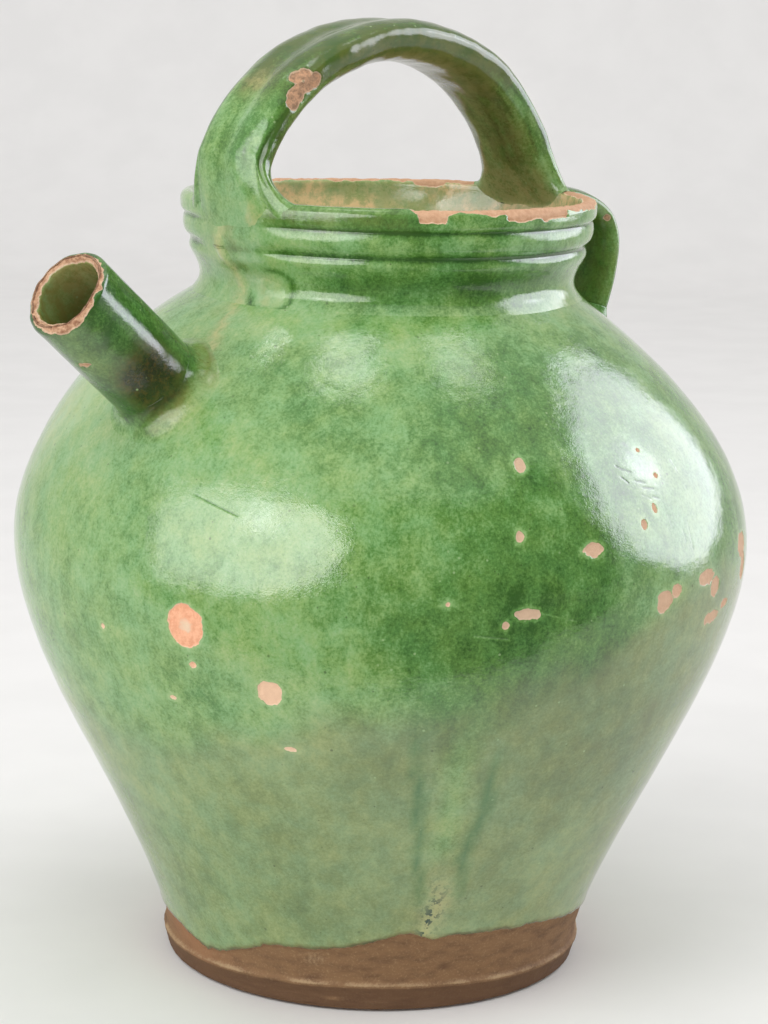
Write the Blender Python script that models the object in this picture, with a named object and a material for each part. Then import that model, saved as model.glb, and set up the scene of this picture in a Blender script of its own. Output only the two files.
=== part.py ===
# Glazed earthenware water pitcher: a turned pot with a banded collar, a tube spout, a bail
# handle over the mouth and a small rear handle, all luted together in clay before firing.
# Metres, +Z up. The origin is the middle of the flat underside and the spout points along +X.

import math

import bmesh
import bpy
from mathutils import Vector

# Gap left between two pieces that are luted together
CLEARANCE = 0.0003

# Pot: the outer wall is two curves, from the foot's waist to the belly and on to the neck
FOOT_RADIUS = 0.0727
FOOT_HEIGHT = 0.0094
FOOT_BEAD = 0.0022
WAIST_SPREAD = 0.0011
FLARE_ANGLE = math.radians(77)
FLARE_REACH = 0.0414
BELLY_RADIUS = 0.1282
BELLY_HEIGHT = 0.151
BELLY_REACH_DOWN = 0.0405
BELLY_REACH_UP = 0.0450
SHOULDER_HEIGHT = 0.087
SHOULDER_ANGLE = math.radians(46)
SHOULDER_REACH = 0.0127
NECK_RADIUS = 0.065
POT_WALL = 0.0065
FLOOR_THICKNESS = 0.010

# Collar: a concave throat under a stack of rounded bands, the top one being the rim
THROAT_HEIGHT = 0.0083
THROAT_HOLLOW = 0.0009
THROAT_RISE = 0.0032
BAND_COUNT = 3
BAND_HEIGHT = 0.0079
BAND_RELIEF = 0.0012
LOWEST_BAND_OVERHANG = 0.0038
RIM_OVERHANG = 0.0067
RIM_WALL = 0.0058

# Spout: a tube that stands on the shoulder where its axis meets the outer wall
SPOUT_DROP = 0.0280
SPOUT_RISE = math.radians(41)
SPOUT_LENGTH = 0.0515
SPOUT_TIP_RADIUS = 0.0154
SPOUT_ROOT_RADIUS = 0.0152
SPOUT_WALL = 0.004
SPOUT_LIP = 0.0008
COIL_RADIUS = 0.007
COIL_EDGE = 0.0006

# Bail: a strap on an elliptical arch in the spout's plane, lapped over the rim at both ends
BAIL_RISE = 0.0588
BAIL_FRONT_OVERHANG = 0.0019
BAIL_BACK_SETBACK = 0.0067
BAIL_SPRING_DEPTH = 0.0100
BAIL_LAP = 0.0085
BAIL_WIDTH = 0.0314
BAIL_THICKNESS = 0.015
BAIL_GROOVE = 0.0014
BAIL_FLARE_HEIGHT = 0.016
BAIL_FLARE_WIDTH = 0.004
BAIL_FLARE_INWARD = 0.002
BAIL_FRONT_TAPER = 0.0055
BAIL_FLARE_BACK = 0.004
BAIL_WAD_LENGTH = 0.0135
BAIL_WAD_THICKNESS = 0.0032

# Rear handle: a thinner strap from the back of the rim down to the shoulder
REAR_WIDTH = 0.030
REAR_THICKNESS = 0.009
REAR_GROOVE = 0.0008
REAR_TOP_DROP = 0.0035
REAR_TOP_REACH = 0.036
REAR_FOOT_DROP = 0.0215
REAR_FOOT_REACH = 0.040
REAR_FOOT_LEAN = math.radians(26)
REAR_BURIAL = 0.014
REAR_FLARE_HEIGHT = 0.012
REAR_FLARE_WIDTH = 0.006
REAR_WAD_LENGTH = 0.022
REAR_WAD_THICKNESS = 0.0042

# A pressed wad thins to this at its edge, is this much wider than its strap and narrows to a tongue
WAD_EDGE = 0.0005
WAD_MARGIN = 0.005
WAD_TAPER = 0.85
WAD_THINNING = 1.5
WAD_TOP_PHASE = 0.25

# Fineness of the facets
TURN_STEPS = 60
TUBE_STEPS = 32
WALL_STEPS = 10
BAND_STEPS = 6
STRAP_STEPS = 40
STRAP_SIDES = 20
STRAP_SQUARENESS = 2.6
VALLEY_SHARE = 0.3
WAD_STEPS = 12
MERGE_DISTANCE = 0.000001
SMOOTH_ANGLE = math.radians(40)

# Places that follow from the sizes above
WAIST_RADIUS = FOOT_RADIUS + WAIST_SPREAD
NECK_HEIGHT = BELLY_HEIGHT + SHOULDER_HEIGHT
RIM_HEIGHT = NECK_HEIGHT + THROAT_HEIGHT + BAND_COUNT * BAND_HEIGHT
THROAT_RADIUS = NECK_RADIUS - THROAT_HOLLOW
LOWEST_BAND_RADIUS = NECK_RADIUS + LOWEST_BAND_OVERHANG
RIM_RADIUS = NECK_RADIUS + RIM_OVERHANG
SPOUT_HEIGHT = NECK_HEIGHT - SPOUT_DROP
REAR_FOOT_HEIGHT = NECK_HEIGHT - REAR_FOOT_DROP

# Finishes
GREEN_GLAZE = (0.115, 0.245, 0.072, 1.0)
DEEP_GLAZE = (0.085, 0.205, 0.060, 1.0)
OLIVE_GLAZE = (0.235, 0.275, 0.085, 1.0)
GLAZE_ROUGHNESS = 0.16


def clear_scene():
    for item in list(bpy.data.objects):
        bpy.data.objects.remove(item, do_unlink=True)


# Outlines, as lists of (radius, height)

def bezier(start, start_handle, end_handle, end, steps):
    points = []
    for step in range(steps + 1):
        t = step / steps
        weights = ((1 - t) ** 3, 3 * t * (1 - t) ** 2, 3 * t * t * (1 - t), t ** 3)
        corners = (start, start_handle, end_handle, end)
        radius = sum(weight * corner[0] for weight, corner in zip(weights, corners))
        height = sum(weight * corner[1] for weight, corner in zip(weights, corners))
        points.append((radius, height))
    return points


def offset_outline(points, distance):
    """Move each point to the right of its direction of travel."""
    moved = []
    last = len(points) - 1
    for index, (radius, height) in enumerate(points):
        before = Vector(points[max(index - 1, 0)])
        after = Vector(points[min(index + 1, last)])
        along = (after - before).normalized()
        moved.append((radius + along.y * distance, height - along.x * distance))
    return moved


def foot_outline():
    points = []
    for step in range(BAND_STEPS + 1):
        share = step / BAND_STEPS
        radius = FOOT_RADIUS + (WAIST_RADIUS - FOOT_RADIUS) * share
        radius += FOOT_BEAD * math.sin(math.pi * share)
        points.append((radius, FOOT_HEIGHT * share))
    return points


def wall_outline():
    """Outer wall from the waist of the foot up to the neck."""
    waist = (WAIST_RADIUS, FOOT_HEIGHT)
    flare = (WAIST_RADIUS + FLARE_REACH * math.cos(FLARE_ANGLE),
             FOOT_HEIGHT + FLARE_REACH * math.sin(FLARE_ANGLE))
    belly = (BELLY_RADIUS, BELLY_HEIGHT)
    below = (BELLY_RADIUS, BELLY_HEIGHT - BELLY_REACH_DOWN)
    above = (BELLY_RADIUS, BELLY_HEIGHT + BELLY_REACH_UP)
    shoulder = (NECK_RADIUS + SHOULDER_REACH * math.cos(SHOULDER_ANGLE),
                NECK_HEIGHT - SHOULDER_REACH * math.sin(SHOULDER_ANGLE))
    neck = (NECK_RADIUS, NECK_HEIGHT)
    lower = bezier(waist, flare, below, belly, WALL_STEPS)
    upper = bezier(belly, above, shoulder, neck, WALL_STEPS)
    return lower + upper[1:]


def collar_outer_outline():
    """Collar from the crease at the neck, through the throat and the bands, to the rim's crest."""
    bottom = NECK_HEIGHT + CLEARANCE
    bands_bottom = RIM_HEIGHT - BAND_COUNT * BAND_HEIGHT
    throat_height = bottom + THROAT_RISE
    points = [(NECK_RADIUS, bottom), (THROAT_RADIUS, throat_height)]
    groove_radius = LOWEST_BAND_RADIUS - BAND_RELIEF
    middle_radius = (THROAT_RADIUS + groove_radius - BAND_RELIEF) / 2
    points.append((middle_radius, (throat_height + bands_bottom) / 2))
    for band in range(BAND_COUNT):
        rise = band / (BAND_COUNT - 1)
        crest = LOWEST_BAND_RADIUS + (RIM_RADIUS - LOWEST_BAND_RADIUS) * rise
        for step in range(BAND_STEPS):
            share = step / BAND_STEPS
            radius = crest - BAND_RELIEF * (1 - math.sin(math.pi * share))
            points.append((radius, bands_bottom + (band + share) * BAND_HEIGHT))
    return points


def rim_inner_outline():
    """Collar from the rim's crest down the inside to the crease."""
    bottom = NECK_HEIGHT + CLEARANCE
    crest = (RIM_RADIUS - RIM_WALL / 2, RIM_HEIGHT)
    edge = (RIM_RADIUS - RIM_WALL, RIM_HEIGHT - RIM_WALL / 4)
    inside = (RIM_RADIUS - RIM_WALL, RIM_HEIGHT - BAND_HEIGHT)
    throat = (NECK_RADIUS - POT_WALL, bottom)
    return [crest, edge, inside, throat]


def wall_radius(height):
    """Radius of the outer wall at a height above the belly."""
    points = wall_outline()
    for (radius_a, height_a), (radius_b, height_b) in zip(points, points[1:]):
        if height_a <= height <= height_b:
            share = (height - height_a) / (height_b - height_a)
            return radius_a + (radius_b - radius_a) * share
    return NECK_RADIUS


# Solids

def glaze(name, colour):
    material = bpy.data.materials.new(name)
    material.use_nodes = True
    shader = material.node_tree.nodes["Principled BSDF"]
    shader.inputs["Base Color"].default_value = colour
    shader.inputs["Roughness"].default_value = GLAZE_ROUGHNESS
    shader.inputs["Metallic"].default_value = 0.0
    return material


def add_object(name, mesh_builder, colour):
    bmesh.ops.recalc_face_normals(mesh_builder, faces=mesh_builder.faces)
    mesh = bpy.data.meshes.new(name)
    mesh_builder.to_mesh(mesh)
    mesh_builder.free()
    mesh.shade_smooth()
    mesh.set_sharp_from_angle(angle=SMOOTH_ANGLE)
    piece = bpy.data.objects.new(name, mesh)
    bpy.context.collection.objects.link(piece)
    if colour is None:
        piece.hide_render = True
        piece.display_type = 'WIRE'
    else:
        mesh.materials.append(glaze(name + "_glaze", colour))
    return piece


def turned(name, outline, steps, colour=None, ring=False):
    """Spin an outline about Z. A ring outline is closed, any other ends on the axis."""
    builder = bmesh.new()
    points = [builder.verts.new((radius, 0.0, height)) for radius, height in outline]
    edges = [builder.edges.new(pair) for pair in zip(points, points[1:])]
    if ring:
        edges.append(builder.edges.new((points[-1], points[0])))
    bmesh.ops.spin(builder, geom=points + edges, cent=(0, 0, 0), axis=(0, 0, 1),
                   angle=math.tau, steps=steps, use_merge=True)
    bmesh.ops.remove_doubles(builder, verts=builder.verts, dist=MERGE_DISTANCE)
    return add_object(name, builder, colour)


def strap_section(width, inward, outward, groove):
    """Rounded strap section as (across, out), with a shallow valley along the outer face."""
    section = []
    power = 2 / STRAP_SQUARENESS
    for side in range(STRAP_SIDES):
        angle = math.tau * (side + 0.5) / STRAP_SIDES
        across = math.copysign(abs(math.cos(angle)) ** power, math.cos(angle))
        out = math.copysign(abs(math.sin(angle)) ** power, math.sin(angle))
        valley = groove * max(0.0, out) * math.exp(-(across / VALLEY_SHARE) ** 2)
        reach = outward if out > 0 else inward
        section.append((across * width / 2, out * reach - valley))
    return section


def strap(name, path, sizes, groove, colour=None):
    """Loft a strap along a path of (x, z) points, with (width, inward, outward) reaches at each."""
    builder = bmesh.new()
    rings = []
    last = len(path) - 1
    for index, (x, z) in enumerate(path):
        along = (Vector(path[min(index + 1, last)]) - Vector(path[max(index - 1, 0)])).normalized()
        facing = Vector((-along.y, along.x))
        ring = []
        for across, out in strap_section(*sizes[index], groove):
            ring.append(builder.verts.new((x + facing.x * out, across, z + facing.y * out)))
        rings.append(ring)
    for lower, upper in zip(rings, rings[1:]):
        for side in range(STRAP_SIDES):
            after = (side + 1) % STRAP_SIDES
            builder.faces.new((lower[side], lower[after], upper[after], upper[side]))
    builder.faces.new(rings[0])
    builder.faces.new(rings[-1])
    return add_object(name, builder, colour)


def pressed_wad(name, outline, half_width, thickness_at, facing, colour):
    """Pad lying on a turned wall: outline runs down the wall, facing is +1 for +X or -1 for -X."""
    builder = bmesh.new()
    under = []
    over = []
    seat = offset_outline(outline, -CLEARANCE)
    last = len(outline) - 1
    down = (Vector(seat[-1]) - Vector(seat[0])).normalized()
    outward = Vector((-down.y, down.x))
    for row, (radius, height) in enumerate(seat):
        tongue = half_width * math.sqrt(1 - (WAD_TAPER * row / last) ** 2)
        under_row = []
        over_row = []
        for column in range(WAD_STEPS + 1):
            across = 2 * column / WAD_STEPS - 1
            angle = across * tongue / radius
            depth = WAD_EDGE + thickness_at(row / last) * math.cos(across * math.pi / 2)
            top_radius = radius + outward.x * depth
            top_height = height + outward.y * depth
            flat = (facing * math.cos(angle), math.sin(angle))
            under_row.append(builder.verts.new((flat[0] * radius, flat[1] * radius, height)))
            over_row.append(builder.verts.new((flat[0] * top_radius, flat[1] * top_radius, top_height)))
        under.append(under_row)
        over.append(over_row)
    for sheet in (under, over):
        for upper, lower in zip(sheet, sheet[1:]):
            for column in range(WAD_STEPS):
                builder.faces.new((upper[column], upper[column + 1], lower[column + 1], lower[column]))
    for row in (0, last):
        for column in range(WAD_STEPS):
            builder.faces.new((under[row][column], under[row][column + 1],
                               over[row][column + 1], over[row][column]))
    for column in (0, WAD_STEPS):
        for row in range(last):
            builder.faces.new((under[row][column], under[row + 1][column],
                               over[row + 1][column], over[row][column]))
    return add_object(name, builder, colour)


def cut(piece, *cutters):
    for cutter in cutters:
        boolean = piece.modifiers.new("cut by " + cutter.name, 'BOOLEAN')
        boolean.operation = 'DIFFERENCE'
        boolean.solver = 'EXACT'
        boolean.object = cutter


# Pot and collar

def build_pot():
    outer = wall_outline()
    inner = [point for point in offset_outline(outer, -POT_WALL) if point[1] > FLOOR_THICKNESS + POT_WALL]
    inner = [point for point in inner if point[1] < NECK_HEIGHT - POT_WALL / 2]
    floor_radius = WAIST_RADIUS - 2 * POT_WALL
    inside = [(NECK_RADIUS - POT_WALL, NECK_HEIGHT)] + inner[::-1] + [(floor_radius, FLOOR_THICKNESS)]
    outline = [(0.0, 0.0)] + foot_outline()[:-1] + outer + inside + [(0.0, FLOOR_THICKNESS)]
    return turned("body", outline, TURN_STEPS, GREEN_GLAZE)


def build_pot_cutter():
    grown = offset_outline(wall_outline(), CLEARANCE)
    outline = [(0.0, grown[0][1])] + grown + [(0.0, grown[-1][1])]
    return turned("pot_cutter", outline, TURN_STEPS)


def build_collar():
    outline = collar_outer_outline() + rim_inner_outline()
    return turned("collar", outline, TURN_STEPS, GREEN_GLAZE, ring=True)


def build_collar_cutter(name, to_axis):
    """The collar grown by the clearance: as a ring, or filled in to the axis."""
    outer = collar_outer_outline()
    if to_axis:
        grown = offset_outline(outer + rim_inner_outline()[:1], CLEARANCE)
        top = RIM_HEIGHT + CLEARANCE
        return turned(name, [(0.0, grown[0][1])] + grown + [(0.0, top)], TURN_STEPS)
    grown = offset_outline(outer + rim_inner_outline(), CLEARANCE)
    return turned(name, grown, TURN_STEPS, ring=True)


# Spout

def spout_outer_radius(along):
    return SPOUT_ROOT_RADIUS + (SPOUT_TIP_RADIUS - SPOUT_ROOT_RADIUS) * along / SPOUT_LENGTH


def place_on_shoulder(piece):
    """Stand a piece on the wall with its Z axis along the spout."""
    piece.location = (wall_radius(SPOUT_HEIGHT), 0.0, SPOUT_HEIGHT)
    piece.rotation_euler = (0.0, math.pi / 2 - SPOUT_RISE, 0.0)


def build_spout(pot_cutter):
    burial = SPOUT_ROOT_RADIUS
    root = spout_outer_radius(-burial)
    tip = SPOUT_TIP_RADIUS
    outline = [(root, -burial), (tip, SPOUT_LENGTH - SPOUT_LIP), (tip - SPOUT_LIP, SPOUT_LENGTH),
               (tip - SPOUT_WALL + SPOUT_LIP, SPOUT_LENGTH), (tip - SPOUT_WALL, SPOUT_LENGTH - SPOUT_LIP),
               (root - SPOUT_WALL, -burial)]
    spout = turned("spout", outline, TUBE_STEPS, DEEP_GLAZE, ring=True)
    place_on_shoulder(spout)
    cut(spout, pot_cutter)


def build_spout_bore(pot):
    """Hole through the shoulder, in line with the spout's bore."""
    reach = 2 * SPOUT_ROOT_RADIUS
    bore = SPOUT_ROOT_RADIUS - SPOUT_WALL
    outline = [(0.0, -reach), (bore, -reach), (bore, reach), (0.0, reach)]
    cutter = turned("spout_bore_cutter", outline, TUBE_STEPS)
    place_on_shoulder(cutter)
    cut(pot, cutter)


def build_spout_coil(pot_cutter):
    """Clay worked into a hollow fillet all round the root of the spout."""
    burial = SPOUT_ROOT_RADIUS
    inner_low = (spout_outer_radius(-burial) + CLEARANCE, -burial)
    inner_high = (spout_outer_radius(COIL_RADIUS) + CLEARANCE, COIL_RADIUS)
    fillet = []
    for step in range(BAND_STEPS + 1):
        angle = math.pi / 2 * step / BAND_STEPS
        radius = inner_high[0] + COIL_EDGE + COIL_RADIUS * (1 - math.cos(angle))
        fillet.append((radius, COIL_RADIUS * (1 - math.sin(angle))))
    skirt = (fillet[-1][0] + COIL_RADIUS, -burial)
    outline = [inner_low, inner_high] + fillet + [skirt]
    coil = turned("spout_coil", outline, TUBE_STEPS, OLIVE_GLAZE, ring=True)
    place_on_shoulder(coil)
    cut(coil, pot_cutter)


# Bail

def bail_arch(lap):
    """Centre line from the back root over the mouth to the front root, each a lap below the rim."""
    front = RIM_RADIUS + BAIL_FRONT_OVERHANG
    back = RIM_RADIUS - BAIL_BACK_SETBACK
    centre_x = (front - back) / 2
    half_span = (front + back) / 2
    spring = RIM_HEIGHT - BAIL_SPRING_DEPTH
    half_height = BAIL_RISE + BAIL_SPRING_DEPTH - BAIL_THICKNESS / 2
    foot = math.asin((BAIL_SPRING_DEPTH - lap) / half_height)
    path = []
    for step in range(STRAP_STEPS + 1):
        angle = math.pi - foot - (math.pi - 2 * foot) * step / STRAP_STEPS
        path.append((centre_x + half_span * math.cos(angle), spring + half_height * math.sin(angle)))
    return path


def flare_share(height, flare_height):
    """1 at the root of a strap, easing to 0 at the flare's height above it."""
    share = min(1.0, max(0.0, 1 - height / flare_height))
    return share * share


def build_bail(name, growth, colour, *cutters):
    path = bail_arch(BAIL_LAP + growth)
    root = RIM_HEIGHT - BAIL_LAP
    sizes = []
    for x, z in path:
        flare = flare_share(z - root, BAIL_FLARE_HEIGHT)
        outer_flare = -BAIL_FRONT_TAPER if x > 0 else BAIL_FLARE_BACK
        width = BAIL_WIDTH + BAIL_FLARE_WIDTH * flare + 2 * growth
        inward = BAIL_THICKNESS / 2 + BAIL_FLARE_INWARD * flare + growth
        outward = BAIL_THICKNESS / 2 + outer_flare * flare + growth
        sizes.append((width, inward, outward))
    bail = strap(name, path, sizes, BAIL_GROOVE, colour)
    cut(bail, *cutters)
    return bail


def build_bail_front_wad(strap_cutter):
    """Clay drawn down from the bail's front root over the collar's bands."""
    top = RIM_HEIGHT - BAIL_LAP
    outer = collar_outer_outline()[::-1]
    outline = [point for point in outer if top - BAIL_WAD_LENGTH < point[1] < top]
    ceiling = next(point for point in outer[::-1] if point[1] >= top)
    share = (top - outline[0][1]) / (ceiling[1] - outline[0][1])
    top_radius = outline[0][0] + (ceiling[0] - outline[0][0]) * share
    outline.insert(0, (top_radius, top))

    def thickness_at(share_down):
        return BAIL_WAD_THICKNESS * (1 - share_down) ** WAD_THINNING

    half_width = (BAIL_WIDTH + BAIL_FLARE_WIDTH) / 2
    wad = pressed_wad("bail_front_wad", outline, half_width, thickness_at, 1, OLIVE_GLAZE)
    cut(wad, strap_cutter)


# Rear handle

def rear_loop():
    """Centre line from inside the rim's back, out and down into the shoulder."""
    foot_radius = wall_radius(REAR_FOOT_HEIGHT)
    top = (RIM_RADIUS - RIM_WALL, RIM_HEIGHT - REAR_TOP_DROP)
    top_handle = (top[0] + REAR_TOP_REACH, top[1])
    foot = (foot_radius, REAR_FOOT_HEIGHT)
    foot_handle = (foot_radius + REAR_FOOT_REACH * math.sin(REAR_FOOT_LEAN),
                   REAR_FOOT_HEIGHT + REAR_FOOT_REACH * math.cos(REAR_FOOT_LEAN))
    loop = bezier(top, top_handle, foot_handle, foot, STRAP_STEPS // 2)
    end = (foot_radius - REAR_BURIAL * math.sin(REAR_FOOT_LEAN),
           REAR_FOOT_HEIGHT - REAR_BURIAL * math.cos(REAR_FOOT_LEAN))
    return [(-radius, height) for radius, height in loop + [end]]


def build_rear_strap(name, growth, colour, *cutters):
    path = rear_loop()
    sizes = []
    for x, z in path:
        flare = flare_share(max(0.0, z - REAR_FOOT_HEIGHT), REAR_FLARE_HEIGHT)
        width = REAR_WIDTH + REAR_FLARE_WIDTH * flare + 2 * growth
        half_thickness = REAR_THICKNESS / 2 + growth
        sizes.append((width, half_thickness, half_thickness))
    handle = strap(name, path[::-1], sizes[::-1], REAR_GROOVE, colour)
    cut(handle, *cutters)
    return handle


def build_rear_wad(strap_cutter):
    """Thumbed tail of clay round the foot of the rear handle."""
    rows = 2 * BAND_STEPS
    outline = []
    for row in range(rows + 1):
        height = REAR_FOOT_HEIGHT - REAR_WAD_LENGTH * row / rows
        outline.append((wall_radius(height), height))

    def thickness_at(share_down):
        phase = WAD_TOP_PHASE + (1 - WAD_TOP_PHASE) * share_down
        return REAR_WAD_THICKNESS * math.sin(math.pi * phase)

    half_width = (REAR_WIDTH + REAR_FLARE_WIDTH) / 2 + WAD_MARGIN
    wad = pressed_wad("rear_handle_wad", outline, half_width, thickness_at, -1, DEEP_GLAZE)
    cut(wad, strap_cutter)


def build_pitcher():
    clear_scene()
    pot = build_pot()
    build_collar()
    pot_cutter = build_pot_cutter()
    collar_ring = build_collar_cutter("collar_ring_cutter", False)
    collar_plug = build_collar_cutter("collar_plug_cutter", True)
    build_spout_bore(pot)
    build_spout(pot_cutter)
    build_spout_coil(pot_cutter)
    build_bail("bail_handle", 0.0, GREEN_GLAZE, collar_ring)
    bail_cutter = build_bail("bail_cutter", CLEARANCE, None)
    build_bail_front_wad(bail_cutter)
    build_rear_strap("rear_handle", 0.0, DEEP_GLAZE, collar_plug, pot_cutter, bail_cutter)
    rear_cutter = build_rear_strap("rear_cutter", CLEARANCE, None)
    build_rear_wad(rear_cutter)


build_pitcher()
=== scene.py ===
# Looks of a glazed earthenware water pitcher: hand-thrown clay under a mottled green lead glaze,
# chipped on the belly, the rim, the spout's lip and the handles, and bare at the foot.
# Metres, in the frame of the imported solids: +Z up, the spout along +X.

import math

import bmesh
import bpy
import numpy as np
from mathutils import Matrix, Vector


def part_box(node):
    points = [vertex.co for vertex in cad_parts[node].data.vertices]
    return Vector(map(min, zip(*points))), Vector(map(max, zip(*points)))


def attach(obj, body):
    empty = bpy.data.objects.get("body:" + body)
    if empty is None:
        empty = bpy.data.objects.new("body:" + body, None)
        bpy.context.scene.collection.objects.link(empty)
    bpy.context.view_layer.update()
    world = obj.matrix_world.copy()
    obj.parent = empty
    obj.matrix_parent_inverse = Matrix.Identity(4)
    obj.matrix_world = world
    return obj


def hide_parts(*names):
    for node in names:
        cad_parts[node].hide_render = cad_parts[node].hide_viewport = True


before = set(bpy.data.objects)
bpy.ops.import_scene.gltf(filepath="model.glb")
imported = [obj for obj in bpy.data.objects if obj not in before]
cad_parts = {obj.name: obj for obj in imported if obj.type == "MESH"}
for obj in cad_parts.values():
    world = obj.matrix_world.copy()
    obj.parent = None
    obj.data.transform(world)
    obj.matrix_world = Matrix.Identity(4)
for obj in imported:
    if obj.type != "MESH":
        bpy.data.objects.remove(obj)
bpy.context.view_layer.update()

MM = 0.001
TURN = math.tau
DEGREE = math.pi / 180

# Sizes read from the frame
BELLY_RADIUS, NECK_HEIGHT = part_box("body")[1].yz
RIM_RADIUS, RIM_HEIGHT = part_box("collar")[1].yz
BAIL_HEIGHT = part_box("bail_handle")[1].z

# Sizes of the pot
FOOT_RADIUS = 73.2 * MM
FOOT_HEIGHT = 9.4 * MM
FOOT_EDGE = 0.9 * MM
FOOT_TOP = 12.4 * MM
RIDGE_PROUD = 1.0 * MM
RIDGE_HEIGHT = 6.9 * MM
RIDGE_CLIMB = 3.1 * MM
WAIST_RADIUS = 73.8 * MM
FLARE_ANGLE = 77 * DEGREE
FLARE_REACH = 41.4 * MM
BELLY_HEIGHT = 151 * MM
BELLY_REACH_DOWN = 40.5 * MM
BELLY_REACH_UP = 45.0 * MM
NECK_RADIUS = 65 * MM
SHOULDER_ANGLE = 46 * DEGREE
SHOULDER_REACH = 12.7 * MM
NECK_ROLL = 1.5 * MM
NECK_ROLL_END = 165 * DEGREE
POT_WALL = 6.5 * MM
FLOOR_THICKNESS = 10 * MM
FULLER_SIDE = 2.4 * MM
THROWING_RINGS = 0.10 * MM
POT_WOBBLE = 0.40 * MM
LATHE_LINES = 0.07 * MM

# Sizes of the collar
LOWER_GROOVE_HEIGHT = 253.8 * MM
LOWER_GROOVE_REACH = 1.2 * MM
UPPER_GROOVE_HEIGHT = 262.3 * MM
UPPER_GROOVE_REACH = 0.9 * MM
COLLAR_WOBBLE = 0.30 * MM
OUTER_RIPPLE = 0.10 * MM
INNER_RIPPLE = 0.35 * MM
RIM_WALL = 5.8 * MM

# Sizes of the spout and of the clay round its root
SPOUT_HEIGHT = 210 * MM
SPOUT_RISE = 41 * DEGREE
SPOUT_LENGTH = 51.5 * MM
SPOUT_RADIUS = 15.3 * MM
SPOUT_WALL = 4.0 * MM
SPOUT_BURIAL = 13 * MM
SPOUT_RIPPLE = 0.14 * MM
FACET_DEPTH = 0.14 * MM
LIP_DROP = 1.0 * MM
FILLET_REACH = 8.0 * MM
FILLET_RISE = 8.0 * MM

# Sizes of the bail
BAIL_FRONT_OVERHANG = 1.9 * MM
BAIL_BACK_SETBACK = 6.7 * MM
BAIL_SPRING_DEPTH = 10 * MM
BAIL_WIDTH = 31.4 * MM
BAIL_THICKNESS = 15 * MM
BAIL_GROOVE = 1.6 * MM
BAIL_FOOT_RISE = 14 * MM
BAIL_PRESSED = 2.0 * MM
BAIL_CROWN = 1.2 * MM
BAIL_LUMPS = 0.45 * MM

# Sizes of the rear handle
REAR_WIDTH = 30 * MM
REAR_THICKNESS = 9 * MM
REAR_GROOVE = 0.8 * MM
REAR_LUMPS = 0.25 * MM
REAR_TOP_DROP = 3.5 * MM
REAR_TOP_REACH = 36 * MM
REAR_FOOT_HEIGHT = 216.5 * MM
REAR_FOOT_REACH = 40 * MM
REAR_FOOT_LEAN = 26 * DEGREE
REAR_TOP_SEAT = 7.0 * MM

# Feet of the handles on the walls: half width, and reach on the outer and the inner side
BAIL_FRONT_FOOT = (26 * MM, 14 * MM, 10 * MM)
BAIL_BACK_FOOT = (23.5 * MM, 9 * MM, 9 * MM)
REAR_TOP_FOOT = (18 * MM, -6.5 * MM, -7 * MM)
REAR_LOW_FOOT = (22 * MM, 20 * MM, 11 * MM)
# How hard a handle's line is pulled straight on where it leaves the strap, and outward where it lands
BAIL_FRONT_PULLS = (20 * MM, 13 * MM)
BAIL_BACK_PULLS = (18 * MM, 11 * MM)
REAR_TOP_PULLS = (6 * MM, 5 * MM)
REAR_LOW_PULLS = (9 * MM, 9 * MM)

# Glaze coat, its bead, runs and scratches, and how deep the rim, the lip and the handles are chipped
GLAZE_THICKNESS = 0.35 * MM
GLAZE_EDGE = 0.22 * MM
BEAD_THICKNESS = 0.22 * MM
RUN_THICKNESS = 0.16 * MM
DRIP_THICKNESS = 0.25 * MM
SCRATCH_DEPTH = 0.16 * MM
RIM_CHIP_DEPTH = 0.6 * MM
LIP_CHIP_DEPTH = 0.5 * MM
HANDLE_CHIP_DEPTH = 0.6 * MM

# A distance in metres that stands for nowhere near
FAR = 1.0


# Noise, eased steps and curves

CELL_PRIMES = np.array([73856093, 19349663, 83492791])
SEED_PRIME = 2654435
MIXERS = ((13, 1274126177), (15, 668265263))
WORD = 0xFFFFFFFF
HALF_WORD = 0xFFFF


def lattice(cells, seed):
    """A repeatable number from -1 to 1 for each whole-numbered cell."""
    mixed = (cells @ CELL_PRIMES + seed * SEED_PRIME) & WORD
    for shift, prime in MIXERS:
        mixed = ((mixed ^ (mixed >> shift)) * prime) & WORD
    return ((mixed ^ (mixed >> 16)) & HALF_WORD) / (HALF_WORD / 2) - 1.0


def noise(points, size, seed):
    """Smooth noise from -1 to 1, with lumps of about the given size in mm."""
    cell = points / (size * MM)
    base = np.floor(cell).astype(np.int64)
    share = cell - base
    eased = share ** 3 * (share * (share * 6 - 15) + 10)
    total = np.zeros(len(points))
    for corner in range(8):
        step = np.array([corner & 1, (corner >> 1) & 1, (corner >> 2) & 1])
        weight = np.prod(np.where(step, eased, 1 - eased), axis=1)
        total += weight * lattice(base + step, seed)
    return total


def rough(points, size, seed):
    """Noise with two finer and fainter layers added."""
    return sum(noise(points, size / 2 ** octave, seed + octave) / 2 ** octave for octave in range(3))


def ease(low, high, values):
    """0 below low, 1 above high and smooth between them. Low may be the larger."""
    share = np.clip((values - low) / (high - low), 0, 1)
    return share * share * (3 - 2 * share)


def rise(low, high, values):
    """The same step with its ends in mm."""
    return ease(low * MM, high * MM, values)


def hump(values, centre, reach):
    """1 at the centre, falling smoothly to nothing a few reaches away."""
    return np.exp(-((values - centre) / reach) ** 2)


def band(values, centre, reach):
    """A hump with its centre and reach in mm."""
    return hump(values, centre * MM, reach * MM)


def turned_apart(azimuth, centre):
    """Signed angle from a centre, wrapped to half a turn either way."""
    return (azimuth - centre + math.pi) % TURN - math.pi


def lobe(angle, centre, reach):
    """A hump round an axis, with its centre and reach in degrees."""
    return hump(turned_apart(angle, centre * DEGREE), 0, reach * DEGREE)


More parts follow.
